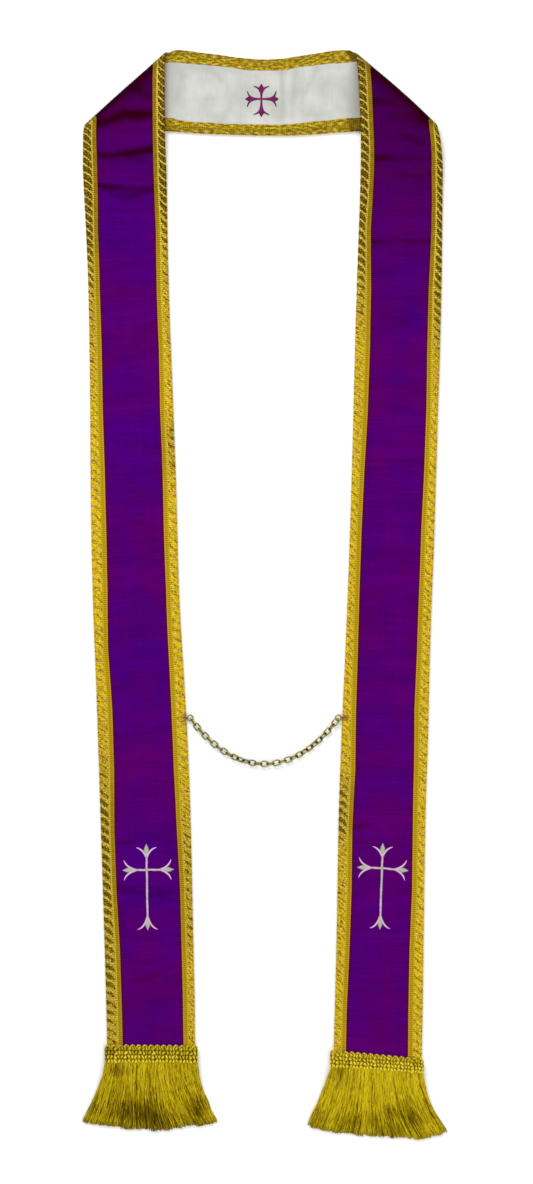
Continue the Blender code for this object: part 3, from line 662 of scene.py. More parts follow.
def placeOnStrip(rows, across, off, creased=True):
    # The points this far from the inner edge and this far off the middle surface, towards the purple face.
    # Plan position runs straight from edge to edge and goes round the fold's radius; the open panel sinks
    # by its sag and rises by its folds. Returns the points in metres and how dark the creases are.
    width, turn, lift, height = asColumns(rows, "width", "turn", "lift", "height")
    inner, outer, pull, bow, outward = asColumns(rows, "inner", "outer", "outerPull", "bow", "outward")
    innerGalloon, outerGalloon = asColumns(rows, "innerGalloon", "outerGalloon")
    across = np.broadcast_to(across, (len(width), across.shape[-1]))
    off = np.broadcast_to(off, across.shape)
    share = (across / width)[..., None]
    plan = inner * (1 - share) + outer * share
    plan = plan + pull * (share**4 - share) + bow * (4 * share * (1 - share))
    plan = plan + outward * ((strip["foldRadius"] + off) * np.sin(turn))[..., None]
    fromInner = (across - innerGalloon) / strip["sagReach"]
    fromOuter = (width - across - outerGalloon) / strip["sagReach"]
    openShare = softStep(fromInner) * softStep(fromOuter)
    creaseHeight, dark = creaseFields(rows, plan[..., 0], plan[..., 1])
    lift = np.maximum(lift + (creaseHeight if creased else 0.0), 0.0)
    z = height + openShare * (lift - strip["panelSag"]) - off * np.cos(turn)
    return np.concatenate([plan, z[..., None]], axis=-1) * mm, dark


def silkMaterial():
    # Dupioni silk: a crisp cloth with thick and thin threads, so that short streaks run across the strip.
    # Two purples are woven together, and "hue" says which one shows; "crease" is how much painted shade lies
    # on the cloth, in creases, towards the folds and at the fold's edge, and "border" how close it is to the
    # galloon, for the galloon's painted shadow.
    material, tree = newMaterial(
        "silkDupioni", Roughness=0.6, IOR=1.4, Specular_IOR_Level=0.04, Specular_Tint=(0.5, 0.02, 1.0, 1.0),
        Sheen_Weight=0.02, Sheen_Roughness=0.4, Sheen_Tint=(0.4, 0.0, 0.8, 1.0),
    )
    place, crease = mapped(tree), attribute(tree, "crease")
    slub = noise(tree, place, (30, 380, 1), 4.0, 0.6)
    thread = noise(tree, place, (420, 9, 1), 2.0)
    streak = maths(tree, "MULTIPLY_ADD", thread, 0.35, slub)
    drift = ranged(tree, noise(tree, place, 26.0, 3.0, 0.55), 0.3, 0.7, -0.45, 0.45, smooth=False)
    shown = maths(tree, "ADD", attribute(tree, "hue"), drift, clamp=True)
    colour = mixed(tree, shown, "#41006A", "#4E005C")
    swell = maths(tree, "MULTIPLY_ADD", noise(tree, place, (9, 62, 1), 3.0, 0.6), 0.9, streak)
    lit = ranged(tree, swell, 0.85, 1.4, 0.80, 1.20, smooth=False)
    colour = mixed(tree, 1.0, colour, lit, blend="MULTIPLY")
    colour = mixed(tree, attribute(tree, "border"), colour, "#470828")
    # painted shade: up to 1 a crease darkens the cloth towards dark maroon, and past 1, at the fold's edge,
    # it turns almost black
    colour = mixed(tree, crease, colour, "#2C0010")
    colour = mixed(tree, maths(tree, "SUBTRACT", crease, 1.0, clamp=True), colour, "#080004")
    feedSurface(tree, colour, streak, 0.35, 0.0003)
    return material


def satinMaterial():
    # Off-white satin lining: smooth and a little glossy, with soft greenish grey shadows in its folds.
    material, tree = newMaterial(
        "satinOffWhite", Roughness=0.5, IOR=1.45, Specular_IOR_Level=0.25, Sheen_Weight=0.04,
        Sheen_Roughness=0.35,
    )
    place = mapped(tree)
    twill = noise(tree, place, (60, 420, 1), 3.0)
    cloth = maths(tree, "MULTIPLY_ADD", twill, 0.25, noise(tree, place, 34.0, 3.0))
    colour = ramped(tree, cloth, [(0.45, "#B0B1AC"), (0.62, "#B9BAB5"), (0.8, "#C3C4BF")])
    colour = mixed(tree, attribute(tree, "crease"), colour, "#92938A")
    feedSurface(tree, colour, cloth, 0.2, 0.0002)
    return material


def barColour(tree, inset, tone, twist, fleck, patch):
    # The bars and the thin cords between them, on a map that runs along the bars and across them, so that
    # marks lie the way the threads do.
    barPlace = addNode(tree, "CombineXYZ", None, {0: twist, 1: inset}).outputs[0]
    mark = noise(tree, barPlace, (5.0, 0.24, 1), 2.5)
    # distance from the nearest cord, 0 to 0.5 of the pitch, a little uneven as a hand-twisted cord is
    fromCord = maths(tree, "PINGPONG", maths(tree, "MULTIPLY_ADD", patch, 0.22, twist), 0.5)
    uneven = maths(tree, "ADD", tone, ranged(tree, patch, 0.3, 0.7, -0.16, 0.16))
    # a bar is dark where it is further from its cord than this; its end beside the stitches stays bright
    border = maths(tree, "MULTIPLY_ADD", uneven, -0.60, 0.36)
    border = maths(tree, "MULTIPLY_ADD", mark, 0.36, border)
    border = maths(tree, "MULTIPLY_ADD", fleck, 0.16, border)
    border = maths(tree, "ADD", border, ranged(tree, inset, 8.2, 6.0, 0.0, 0.2))
    isDark = ranged(tree, maths(tree, "SUBTRACT", fromCord, border), -0.08, 0.12)
    grooved = maths(tree, "MULTIPLY_ADD", fromCord, 0.3, mark)
    bright = "#B79A08"
    # each colour comes in as its value goes from start to end, up to this share
    # the palest flecks, here and in the dark bars below, are painted glints of the metal thread
    for value, start, end, most, colour in (
        (patch, 0.36, 0.64, 1.0, "#D6B80E"), (patch, 0.56, 0.66, 0.6, "#DEA206"),
        (tone, 0.1, 0.8, 1.0, "#927C12"), (patch, 0.44, 0.34, 0.5, "#98920E"),
        (fleck, 0.53, 0.66, 1.0, "#E2CC4A"), (grooved, 0.52, 0.44, 0.9, "#7A5C0A"),
    ):
        bright = mixed(tree, ranged(tree, value, start, end, 0.0, most), bright, colour)
    dark = mixed(tree, ranged(tree, tone, 0.4, 0.85), "#57400A", "#412C02")
    dark = mixed(tree, ranged(tree, fleck, 0.46, 0.64), dark, "#8C7410")
    bar = mixed(tree, isDark, bright, dark)
    # tan marks along the cords where the tone is low, pale cords where it is high
    marked = maths(tree, "MULTIPLY_ADD", fromCord, -0.6, maths(tree, "MULTIPLY_ADD", fleck, 0.25, mark))
    marked = maths(tree, "MULTIPLY", ranged(tree, marked, 0.56, 0.62), ranged(tree, tone, 0.75, 0.35))
    bar = mixed(tree, marked, bar, mixed(tree, ranged(tree, fleck, 0.42, 0.58), "#60430E", "#CCA25A"))
    corded = maths(tree, "MULTIPLY", ranged(tree, fromCord, 0.13, 0.05), ranged(tree, tone, 0.3, 0.7))
    return mixed(tree, corded, bar, mixed(tree, ranged(tree, fleck, 0.38, 0.6), "#9C842A", "#D2BA66"))


def galloonMaterial():
    # Galloon of gilt metal thread. Slanting bars lie between thin cords; where "tone" is near 1 the bars are
    # olive brown and the cords stand out pale, and where it is near 0 the bars run into one bright yellow
    # with tan marks along the cords. Beside them lie a line of pale stitches, a ribbed selvedge and an orange
    # edge thread, their crests lighter and their grooves darker as painted light and shade. The ribs are
    # drawn 2.4 mm apart, about twice as coarse as real ones, so that they show. Across the neck, where "dull"
    # is 1, the whole trim is browner and its parts show less, and "shade" darkens it with painted shade.
    material, tree = newMaterial(
        "galloonMetalThread", Roughness=0.48, Metallic=0.5, Specular_IOR_Level=0.15,
        Specular_Tint=(1.0, 0.75, 0.1, 1.0),
    )
    place = mapped(tree)
    inset, tone, twist = (attribute(tree, name) for name in ("inset", "tone", "twist"))
    fleck, patch = noise(tree, place, 560.0, 2.0), noise(tree, place, 150.0, 1.0)
    bar = barColour(tree, inset, tone, twist, fleck, patch)
    ribbed = ranged(tree, threads(tree, place, 2.4), 0.05, 0.35)
    low, high = mixed(tree, tone, "#8A6C04", "#5C4604"), mixed(tree, tone, "#B89C0C", "#846A08")
    ribs = mixed(tree, ribbed, low, high)
    ribs = mixed(tree, ranged(tree, patch, 0.35, 0.65, 0.0, 0.35), ribs, "#A88A08")
    raised = ranged(tree, maths(tree, "MULTIPLY_ADD", ribbed, 0.3, fleck), 0.5, 0.8)
    low, high = mixed(tree, tone, "#9E860C", "#8E7618"), mixed(tree, tone, "#BCA428", "#CCB650")
    stitches = mixed(tree, raised, low, high)
    low, high = mixed(tree, tone, "#B87E2A", "#744E26"), mixed(tree, tone, "#DEA644", "#966A34")
    edgeThread = mixed(tree, ribbed, low, high)
    # from the cloth inwards: the edge thread, the ribs, the stitches and the bars
    whole = mixed(tree, ranged(tree, inset, 4.2, 4.9), ribs, stitches)
    whole = mixed(tree, ranged(tree, inset, 1.4, 0.7), whole, edgeThread)
    whole = mixed(tree, ranged(tree, inset, 5.7, 6.4), whole, bar)
    streak = noise(tree, place, (520.0, 170.0, 1), 2.5)
    worn = mixed(tree, ranged(tree, streak, 0.4, 0.58), "#74580A", "#B89E22")
    worn = mixed(tree, ranged(tree, streak, 0.57, 0.68), worn, "#D4C050")
    whole = mixed(tree, maths(tree, "MULTIPLY", attribute(tree, "dull"), 0.84), whole, worn)
    whole = mixed(tree, attribute(tree, "shade"), whole, "#4A3A06")
    feedSurface(tree, whole, maths(tree, "ADD", fleck, ribbed), 0.5, 0.0003)
    return material


def fringeMaterial(name, stops):
    # Rayon fringe thread: glossy olive gold, lighter where it catches the light and brown in the depths. The
    # attribute "tone" runs from 0 in the shade to 1 in the light.
    material, tree = newMaterial(
        name, Roughness=0.45, IOR=1.5, Specular_IOR_Level=0.3, Specular_Tint=(1.0, 0.8, 0.1, 1.0),
    )
    hair = noise(tree, mapped(tree, "Object"), (900, 200, 900), 2.0)
    lit = maths(tree, "MULTIPLY_ADD", hair, 0.7, -0.35)
    lit = maths(tree, "ADD", lit, attribute(tree, "tone"), clamp=True)
    feedSurface(tree, ramped(tree, lit, stops))
    return material


def stitchMaterial(name, middle, side, gloss, tip=None):
    # Satin stitch: parallel glossy threads, with painted light and shade: brightest along the crown of each
    # stroke and on each thread, darker where it turns down to the cloth, and the tip colour a painted
    # highlight.
    # The threads are drawn 1.2 mm apart, three times as coarse as real ones.
    material, tree = newMaterial(name, Roughness=0.4, IOR=1.5, Specular_IOR_Level=gloss)
    place = mapped(tree)
    thread = threads(tree, place, 1.2)
    lit = maths(tree, "MULTIPLY_ADD", thread, 0.5, attribute(tree, "crown"))
    lit = maths(tree, "MULTIPLY_ADD", noise(tree, place, 260.0, 2.0), 0.7, lit)
    colour = mixed(tree, ranged(tree, lit, 0.4, 1.35, smooth=False), side, middle)
    colour = mixed(tree, ranged(tree, lit, 1.2, 1.55, smooth=False), colour, tip or middle)
    feedSurface(tree, colour, thread, 0.4, 0.0002)
    return material


def brassMaterial():
    # Antique brass: dark brown on the sides of the wire and bright on the two faces of each link, which look
    # up or down, as a painted reflection that an attribute follows.
    material, tree = newMaterial("antiqueBrass", Roughness=0.36, Metallic=0.9)
    worn = noise(tree, mapped(tree, "Object"), 330.0, 3.0)
    rubbed = maths(tree, "MULTIPLY", attribute(tree, "rubbed"), 0.6)
    lit = maths(tree, "MULTIPLY_ADD", worn, 0.5, rubbed)
    colour = ramped(tree, lit, [(0.2, "#242204"), (0.5, "#544C0C"), (0.68, "#8E8222"), (0.9, "#D2C656")])
    feedSurface(tree, colour, worn, 0.2, 0.0001)
    return material


silk, satin, galloonGold, brass = silkMaterial(), satinMaterial(), galloonMaterial(), brassMaterial()
threadColours = {
    "fringeRayon": [(0.0, "#332301"), (0.3, "#705902"), (0.6, "#A28B08"), (1.0, "#DCC61A")],
    "fringeCrochet": [(0.0, "#3C2A01"), (0.35, "#836C08"), (0.7, "#B49E16"), (1.0, "#DAC83A")],
    "sewingThread": [(0.0, "#4A2A12"), (0.5, "#8A5A30"), (1.0, "#B58A50")],
}
fringeGold, crochetGold, sewingBrown = (fringeMaterial(name, stops) for name, stops in threadColours.items())
silverStitch = stitchMaterial("satinStitchSilver", "#C4B0B8", "#6C4A68", 0.35, tip="#E4A0E0")
budStitch = stitchMaterial("satinStitchPaleGreen", "#A9AE9C", "#6E6A66", 0.35)
purpleStitch = stitchMaterial("satinStitchPurple", "#741257", "#26081F", 0.08)
print("stole: materials made")

# The two faces of the strip, each a thin shell.
facePlan = {
    "hiddenColumns": [0.0, 0.45, 0.88],
    "borderColumns": [0.0, 0.5, 1.2, 2.0, 3.0],  # mm from the galloon, where its shadow lies
    "openMargin": 1.2,
    "openColumns": 34,
    "backColumns": 7,
    "borderShadow": 2.1,  # how far the galloon's shadow reaches
    "plainShade": 0.1,  # how dark the white face is, and the purple one under the neck
    "rim": (0.55, 0.3, 1.3),  # where the fold's edge starts to darken, by the turn's sine, its run and depth
    "foldShade": (8, 0.65),  # how far the darkness beside a fold reaches, and its depth
}


def faceColumns(rows):
    # Distances from the inner edge: a few under each galloon, some close beside it and an even spread
    # between.
    inset = strip["plyInset"]
    width, innerGalloon, outerGalloon = asColumns(rows, "width", "innerGalloon", "outerGalloon")
    low, high = innerGalloon, width - outerGalloon
    hidden = np.array(facePlan["hiddenColumns"])[None]
    border = np.array(facePlan["borderColumns"])[None]
    margin = facePlan["borderColumns"][-1] + facePlan["openMargin"]
    spread = np.linspace(0.0, 1.0, facePlan["openColumns"])[None]
    left = inset + (low - inset) * hidden
    right = width - inset - (width - inset - high) * hidden[:, ::-1]
    middle = low + margin + (high - low - 2 * margin) * spread
    return np.concatenate([left, low + border, middle, high - border[:, ::-1], right], axis=1)


def makeFace(name, material, slot, nodes, low, high):
    # A thin shell: the outer side has all the columns, the inner side a few. Its map is the strip laid out
    # flat: how far a point is from the inner edge, square to it, and how far along that edge.
    rows = sampleStrip(strip["faceStep"])
    front = faceColumns(rows)
    width, longer, onLeft = asColumns(rows, "width", "longer", "onLeft")
    innerGalloon, outerGalloon = asColumns(rows, "innerGalloon", "outerGalloon")
    square, lean, length = asColumns(rows, "innerSquare", "innerLean", "innerArc")
    share = np.linspace(1.0, 0.0, facePlan["backColumns"])[None]
    back = strip["plyInset"] + (width - 2 * strip["plyInset"]) * share
    across = np.concatenate([front, back], axis=1)
    off = np.concatenate([np.full(front.shape, high), np.full(back.shape, low)], axis=1)
    points, dark = placeOnStrip(rows, across, off)
    reach = across * longer
    uv = np.stack([reach * square, length + reach * lean], axis=-1) * mm
    y = points[..., 1] / mm
    border = np.minimum(across - innerGalloon, width - across - outerGalloon)
    hue = np.where(onLeft, hueAlong("left", y), hueAlong("right", y))
    if high > 0:
        # painted shade: the silk darkens towards the fold, and its very edge is almost black
        fold = np.where(rows["isFold"], 0.0, rows["foldAway"] * rows["innerSquare"])
        (start, run, depth), (reached, beside) = facePlan["rim"], facePlan["foldShade"]
        rim = depth * softStep((np.sin(rows["turn"]) - start) / run) + beside * np.exp(-fold / reached)
        isCloth = (rows["isBand"] | rows["isFold"])[:, None]
        shade = np.where(isCloth, bandValues(rows, bandShades, y), facePlan["plainShade"])
        crease = shade + dark + rim[:, None]
    else:
        crease = facePlan["plainShade"] + dark
    return addPiece(
        name, points, tubeFaces(*across.shape), material, slot=slot, nodes=nodes, uv=uv, crease=crease,
        hue=np.clip(hue, 0.0, 1.0), border=bell(np.clip(border, 0.0, None), facePlan["borderShadow"]),
    )


purpleFace = makeFace(
    "purpleFace", silk, "silk_purple", ("purple_band_left", "purple_neck", "purple_band_right"),
    strip["plyGap"] / 2, strip["plyTop"],
)
whiteFace = makeFace(
    "whiteFace", satin, "satin_white", ("white_band_left", "white_neck", "white_band_right"),
    -strip["plyGap"] / 2, -strip["plyTop"],
)

# The galloon, folded over each edge. Heights are above the middle surface, and insets from the selvedge.
galloonPlan = {
    "barShares": [0.0, 0.08, 0.2, 0.33, 0.47, 0.6, 0.73, 0.86, 1.0],
    "selvedgeInsets": [5.3, 4.7, 2.8, 1.0, 0.4, 0.0],
    "selvedge": 5.9,
    "slant": 7.2,  # how far a bar shifts along the edge on its way from the bound edge to the selvedge
    "cord": 0.08,  # how far a cord reaches, as a share of the pitch
    "low": 1.72,
    "ropeRise": 0.38,
    "barRise": 0.32,
    "cordRise": 0.12,
    "ribTop": 1.68,
    "stitches": (4.8, 5.8, 1.95),  # between these insets the trim is this high
    "edgeThread": (0.2, 0.9, 1.78),  # the same
    "hem": 0.12,  # how far the outermost thread stands off the cloth
    "back": (0.15, 2.2, 1.5),  # the inset of its ends, how far in it turns and where it goes round
    "backGap": 0.06,
    "pressedTo": 0.1,
    "pressed": 0.25,
    "pressReach": 6,
    "rounding": 2.2,
    "scallop": (0.35, 0.6, 1.5),  # its depth, the bar height that it is measured from, and its reach
    "rolledReach": 4.5,
    "rolledShade": 0.45,
    "wornFrom": (1.3, 0.4, 0.75, 1.0),  # the neck's dullness is (1.3 - tone) / 0.4, from 0.75 to 1
    "barPitch": [
        (0, 10.4), (560, 10.4), (900, 9.6), (1080, 8.8), (1240, 8.8), (1360, 9.2), (1500, 9.8), (1900, 10.2),
        (2600, 10.4),
    ],
    "hiddenTone": 0.3,
}

# How much painted shade darkens the trim across the neck, by the distance from its bound edge.
neckShades = {
    "inner": [(0, 0.55), (2.2, 0.42), (4.5, 0.16), (6.5, 0.08), (9, 0.06), (13, 0.0)],
    "outer": [
        (0, 0), (2, 0.05), (3.5, 0.3), (5, 0.52), (7, 0.52), (8.4, 0.02), (9.6, 0.02), (10.7, 0.2), (13, 0.1),
    ],
}

# How dark the bars look along each edge, by y on the bands and by x on the neck: 0 is bright yellow, 1 is
# dark olive brown.
galloonTones = {
    "inner": {
        "left": [
            (-520, 0.26), (-420, 0.28), (-380, 0.48), (-290, 0.5), (-245, 0.28), (-130, 0.08), (130, 0.14),
            (150, 0.46), (185, 0.46), (215, 0.18), (340, 0.36), (390, 0.5), (430, 0.75), (460, 0.95),
            (600, 1),
        ],
        "right": [
            (-520, 0.2), (-280, 0.3), (-268, 0.62), (-220, 0.54), (-200, 0.26), (-160, 0.14), (110, 0.16),
            (285, 0.26), (335, 0.46), (365, 0.62), (385, 0.78), (405, 0.7), (460, 0.95), (600, 1),
        ],
        "neck": [
            (-104, 1), (-100, 0.9), (-95, 0.55), (-88, 0.44), (-60, 0.4), (80, 0.38), (90, 0.45), (94, 0.9),
            (104, 1),
        ],
    },
    "outer": {
        "left": [
            (-520, 0.42), (-430, 0.62), (-395, 0.55), (-350, 0.72), (-250, 0.68), (-215, 0.46), (-110, 0.18),
            (0, 0.1), (165, 0.1), (220, 0.24), (335, 0.42), (380, 0.68), (410, 0.95), (540, 1),
        ],
        "right": [
            (-520, 0.18), (-350, 0.12), (200, 0.14), (280, 0.4), (335, 0.66), (390, 0.85), (520, 1),
        ],
        "neck": [(-170, 0.7), (-95, 0.46), (-80, 0.40), (75, 0.40), (92, 0.46), (165, 0.7)],
    },
}


def galloonHeights(d, wide, zone, phase):
    # The height of each half above the middle surface: that of a flat rope over the bars' zone, higher on
    # each bar and lower beside it, with a thin cord in each gap; then the stitches, the ribs and the edge
    # thread.
    plan = galloonPlan
    barRound = 1 - abs(2 * phase - 1) ** 4
    cord = bell(np.minimum(phase, 1 - phase), plan["cord"])
    rope = np.sin(math.pi * np.clip(np.clip(d / zone, 0.0, 1.0) * 0.94 + 0.05, 0.0, 1.0)) ** 0.4
    rise = rope * (plan["ropeRise"] + plan["barRise"] * barRound + plan["cordRise"] * cord)
    top = np.where(d < zone + 0.01, plan["low"] + rise, plan["ribTop"])
    inset = wide - d
    start, end, stitchTop = plan["stitches"]
    top = np.where((inset > start) & (inset < end), stitchTop, top)
    start, end, threadTop = plan["edgeThread"]
    top = np.where(inset < end, threadTop, top)
    top = np.where(inset < start, strip["plyTop"] + plan["hem"], top)
    depth, middle, reach = plan["scallop"]
    return top, depth * (middle - barRound) * np.exp(-d / reach)


def makeGalloon(edge, nodes):
    # A closed section carried along the strip. Its outer side goes round the edge from one face to the
    # other, and d is the distance from the bound edge, square to it. The bars' phase is the length along
    # the edge over the pitch, and shifts with d, flat at the bound edge and steeper towards the selvedge.
    # On a fold the trim is pressed thin.
    plan = galloonPlan
    rows = sampleStrip(strip["galloonStep"])
    width, longer, isNeck = asColumns(rows, "width", "longer", "isNeck")
    wide, square, lean, length = asColumns(rows, *(edge + name for name in ("Wide", "Square", "Lean", "Arc")))
    shares, insets = np.array(plan["barShares"])[None], np.array(plan["selvedgeInsets"])[None]
    zone = np.maximum(wide - plan["selvedge"], 0.3 * wide)
    half = np.concatenate([zone * shares, wide - insets * (wide - zone) / plan["selvedge"]], axis=1)
    d = np.concatenate([half[:, :0:-1], half], axis=1)
    halfSide = np.ones(half.shape[1] - 1)
    side = np.concatenate([halfSide, [0.0], -halfSide])[None]
    way = 1.0 if edge == "inner" else -1.0
    pitch = fromTable(plan["barPitch"], rows["s"])
    steps = np.diff(rows[edge + "Arc"]) / (pitch[1:] + pitch[:-1]) * 2
    turns = np.concatenate([[0.0], np.cumsum(steps)])[:, None]
    slant = plan["slant"] * np.clip(d / zone, 0.0, 1.0) ** 1.6
    twist = turns + way * (d * lean / square - side * slant) / pitch[:, None]
    top, scallop = galloonHeights(d, wide, zone, twist - np.floor(twist))
    nearFold = 1 - (1 - plan["pressed"]) * np.exp(-rows["foldAway"] / plan["pressReach"])
    press = np.where(rows["isFold"], plan["pressed"], nearFold)[:, None]
    pressedTo = plan["pressedTo"]
    top = strip["plyTop"] + pressedTo + (top - strip["plyTop"] - pressedTo) * press
    curl = np.sqrt(1 - (1 - np.clip(d / plan["rounding"], 0.0, 1.0)) ** 2)
    # the back of the section lies just off the cloth, from one selvedge round its edge to the other
    wall = strip["plyTop"] + plan["backGap"]
    inset, turnIn, roundIn = plan["back"]
    corners = [np.full(wide.shape, value) for value in (turnIn, roundIn, turnIn)]
    back = np.concatenate([wide - inset, *corners, wide - inset], axis=1)
    backOff = np.broadcast_to(np.array([-wall, -wall, 0.0, wall, wall])[None], back.shape)
    fromEdge = np.concatenate([d + scallop, back], axis=1)
    across = fromEdge / square / longer
    off = np.concatenate([side * top * curl, backOff], axis=1)
    points, _ = placeOnStrip(rows, across if way > 0 else width - across, off, creased=False)

    def padded(front):
        # the values of the outer side, and 0 for the back
        return np.concatenate([front, np.zeros(back.shape)], axis=1)

    uv = np.stack([padded(side * d), length + way * fromEdge / square * lean], axis=-1) * mm
    centreX, centreY = (points[..., k].mean(axis=1, keepdims=True) / mm for k in (0, 1))
    tones = galloonTones[edge]
    neck = fromTable(tones["neck"], centreX)
    shown = np.where(isNeck, plan["hiddenTone"], bandValues(rows, tones, centreY))
    hidden = np.where(isNeck, neck, plan["hiddenTone"])
    showsOnNeck = isNeck & (side <= 0)
    # painted shade: the trim is darkest where it goes over the fold: how far in each point lies from the
    # nearer crease
    inwards = []
    for fold in ("left", "right"):
        crease = bandTable(fold)[0]
        inwards.append(-((points[:, : d.shape[1], :2] / mm - crease[0:2]) * folds[fold][1]).sum(axis=-1))
    rolled = bell(np.clip(np.minimum(*inwards), 0.0, None), plan["rolledReach"])
    # painted shade at the neck trim's two corners beside the folds
    corner = 0.8 * softStep((centreX - 94.0) / 3) + 0.5 * bell(centreX + 110, 4)
    neckPaintedShade = np.maximum(fromTable(neckShades[edge], d), corner)
    start, run, least, most = plan["wornFrom"]
    worn = np.clip((start - neck) / run, least, most)
    return addPiece(
        f"galloon{edge.capitalize()}", points, tubeFaces(*across.shape), galloonGold, slot="gold_galloon",
        nodes=nodes, uv=uv, twist=padded(twist), inset=padded(wide - d),
        tone=padded(np.where(side >= 0, shown, hidden)),
        dull=padded(np.where(showsOnNeck, worn, 0.0)),
        shade=padded(np.where(showsOnNeck, neckPaintedShade, plan["rolledShade"] * rolled)),
    )


galloonInner = makeGalloon("inner", ("braid_inner_left", "braid_neck_top", "braid_inner_right"))
galloonOuter = makeGalloon("outer", ("braid_outer_left", "braid_neck_bottom", "braid_outer_right"))

# The fringes. inner and outer are the header's ends: x, y of its top and y of its bottom. flare is the
# power that the strands spread with at each end, and lift is how much lighter they are. shade has soft dark
# patches as x, y, how far each reaches in x and in y, and its depth.
fringePlan = {
    "left": {
        "inner": (-76.2, -515.8, -535.0),
        "outer": (-182.2, -515.0, -534.4),
        "flare": (1.6, 1.45),
        "lift": -0.02,
        "headerTone": -0.02,
        "endShade": 0.25,
        "seed": 11,
        "tips": [(-54.5, -601.0), (-76.0, -604.5), (-120.0, -610.6), (-165.0, -607.6), (-207.0, -602.0)],
        "shade": [
            (-145, -589, 28, 15, 0.56), (-122, -599, 22, 10, 0.2), (-76, -588, 9, 14, 0.45),
            (-170, -541, 8, 7, 0.36), (-110, -602, 20, 9, 0.2), (-196, -580, 10, 22, 0.2),
        ],
    },
    "right": {
        "inner": (74.8, -521.0, -539.2),
        "outer": (181.3, -531.0, -546.4),
        "flare": (1.2, 1.8),
        "lift": 0.10,
        "headerTone": 0.09,
        "endShade": 0.0,
        "seed": 12,
        "tips": [(50.0, -607.0), (85.0, -614.0), (135.0, -617.8), (183.0, -620.4), (207.5, -613.0)],
        "shade": [
            (103, -602, 22, 10, 0.32), (166, -596, 30, 15, 0.36), (150, -590, 14, 9, 0.15),
            (86, -545, 7, 9, 0.45), (60, -596, 9, 14, 0.25), (140, -611, 16, 8, 0.3),
        ],
    },
    "middleFlare": 2.2,
    "strands": 1500,
    "rings": 13,
    "sides": 3,
    "layers": 5,
    "layerStep": 0.52,
    "locks": 46,
    "lockPull": 0.3,
    "thick": 0.52,
    "wander": 0.010,  # how far strands spread to the side, as a share of the fringe
    "strays": (0.10, 0.03),  # how many wander more, and how far
    "ragged": 1.0,
    "short": (1.5, 0.6),  # how much shorter strands are, and how far past the tips' line the longest reach
    "root": (2.5, 0.25, 0.22),  # how far in under the header, how high over its floor, and each layer's step
    "wave": (0.7, 1.0, 4.2),  # its width, and the fewest and the most half turns
    "lie": 0.7,
    "sink": 2.2,
    "hump": (0.9, 0.18, 0.16),  # its height, its middle as a share of the way down, and its reach
    "tone": 0.62,
    "toneSpreads": (0.17, 0.05, 0.11),  # from strand to strand, from clump to clump, and along a strand
    "layerTone": 0.05,
    "glint": (0.18, 14.0, 30.0),
    "tipShade": 0.22,
    "headerColumns": 300,
    "headerSteps": 56,
    "headerSeed": 5,
    "headerWall": 1.4,
    "headerShades": [(0, 0.52), (1, 0.56), (2, 0.62), (3, 0.70), (4.1, 0.80)],
    "column": 3.9,
    "rows": 4.1,
    "beadHeight": 1.15,
    "loops": 15,
    "loopRings": 13,
    "loopSides": 8,
    "loopWire": 1.1,
}


def headerFloor(side, x, y):
    # Height of the header's underside, in mm: over the galloon near the band's edges, lower over the panel.
    inner, outer = edgeAt(side, 1, y), edgeAt(side, 2, y)
    low, high = np.minimum(inner, outer), np.maximum(inner, outer)
    return fromTable([(15.6, 5.2), (18.2, 2.6)], np.clip(np.minimum(x - low, high - x), 0.0, None))


def headerLine(side, share):
    # x, y of the top and y of the bottom of the header at this share of its length, from inner to outer end.
    plan = fringePlan[side]
    inner, outer = np.array(plan["inner"]), np.array(plan["outer"])
    return (inner[:, None] + (outer - inner)[:, None] * np.ravel(share)[None]).reshape(3, *np.shape(share))


def tubes(paths, radii, sides):
    # Round tubes along many paths at once. paths is (tubes, rings, 3) in mm, radii (tubes, rings). Each
    # ring lies square to the path, turned so that its first side is level. Returns points in metres and the
    # faces.
    count, rings = paths.shape[:2]
    ahead = unit(np.gradient(paths, axis=1))
    level = unit(np.cross(ahead, (0.0, 0.0, 1.0)))
    upright = np.cross(level, ahead)
    angle = (2 * math.pi * np.arange(sides) / sides)[:, None]
    ring = level[:, :, None] * np.cos(angle) + upright[:, :, None] * np.sin(angle)
    points = paths[:, :, None] + ring * radii[:, :, None, None]
    return points.reshape(-1, 3) * mm, repeatedFaces(tubeFaces(rings, sides), count, rings * sides)


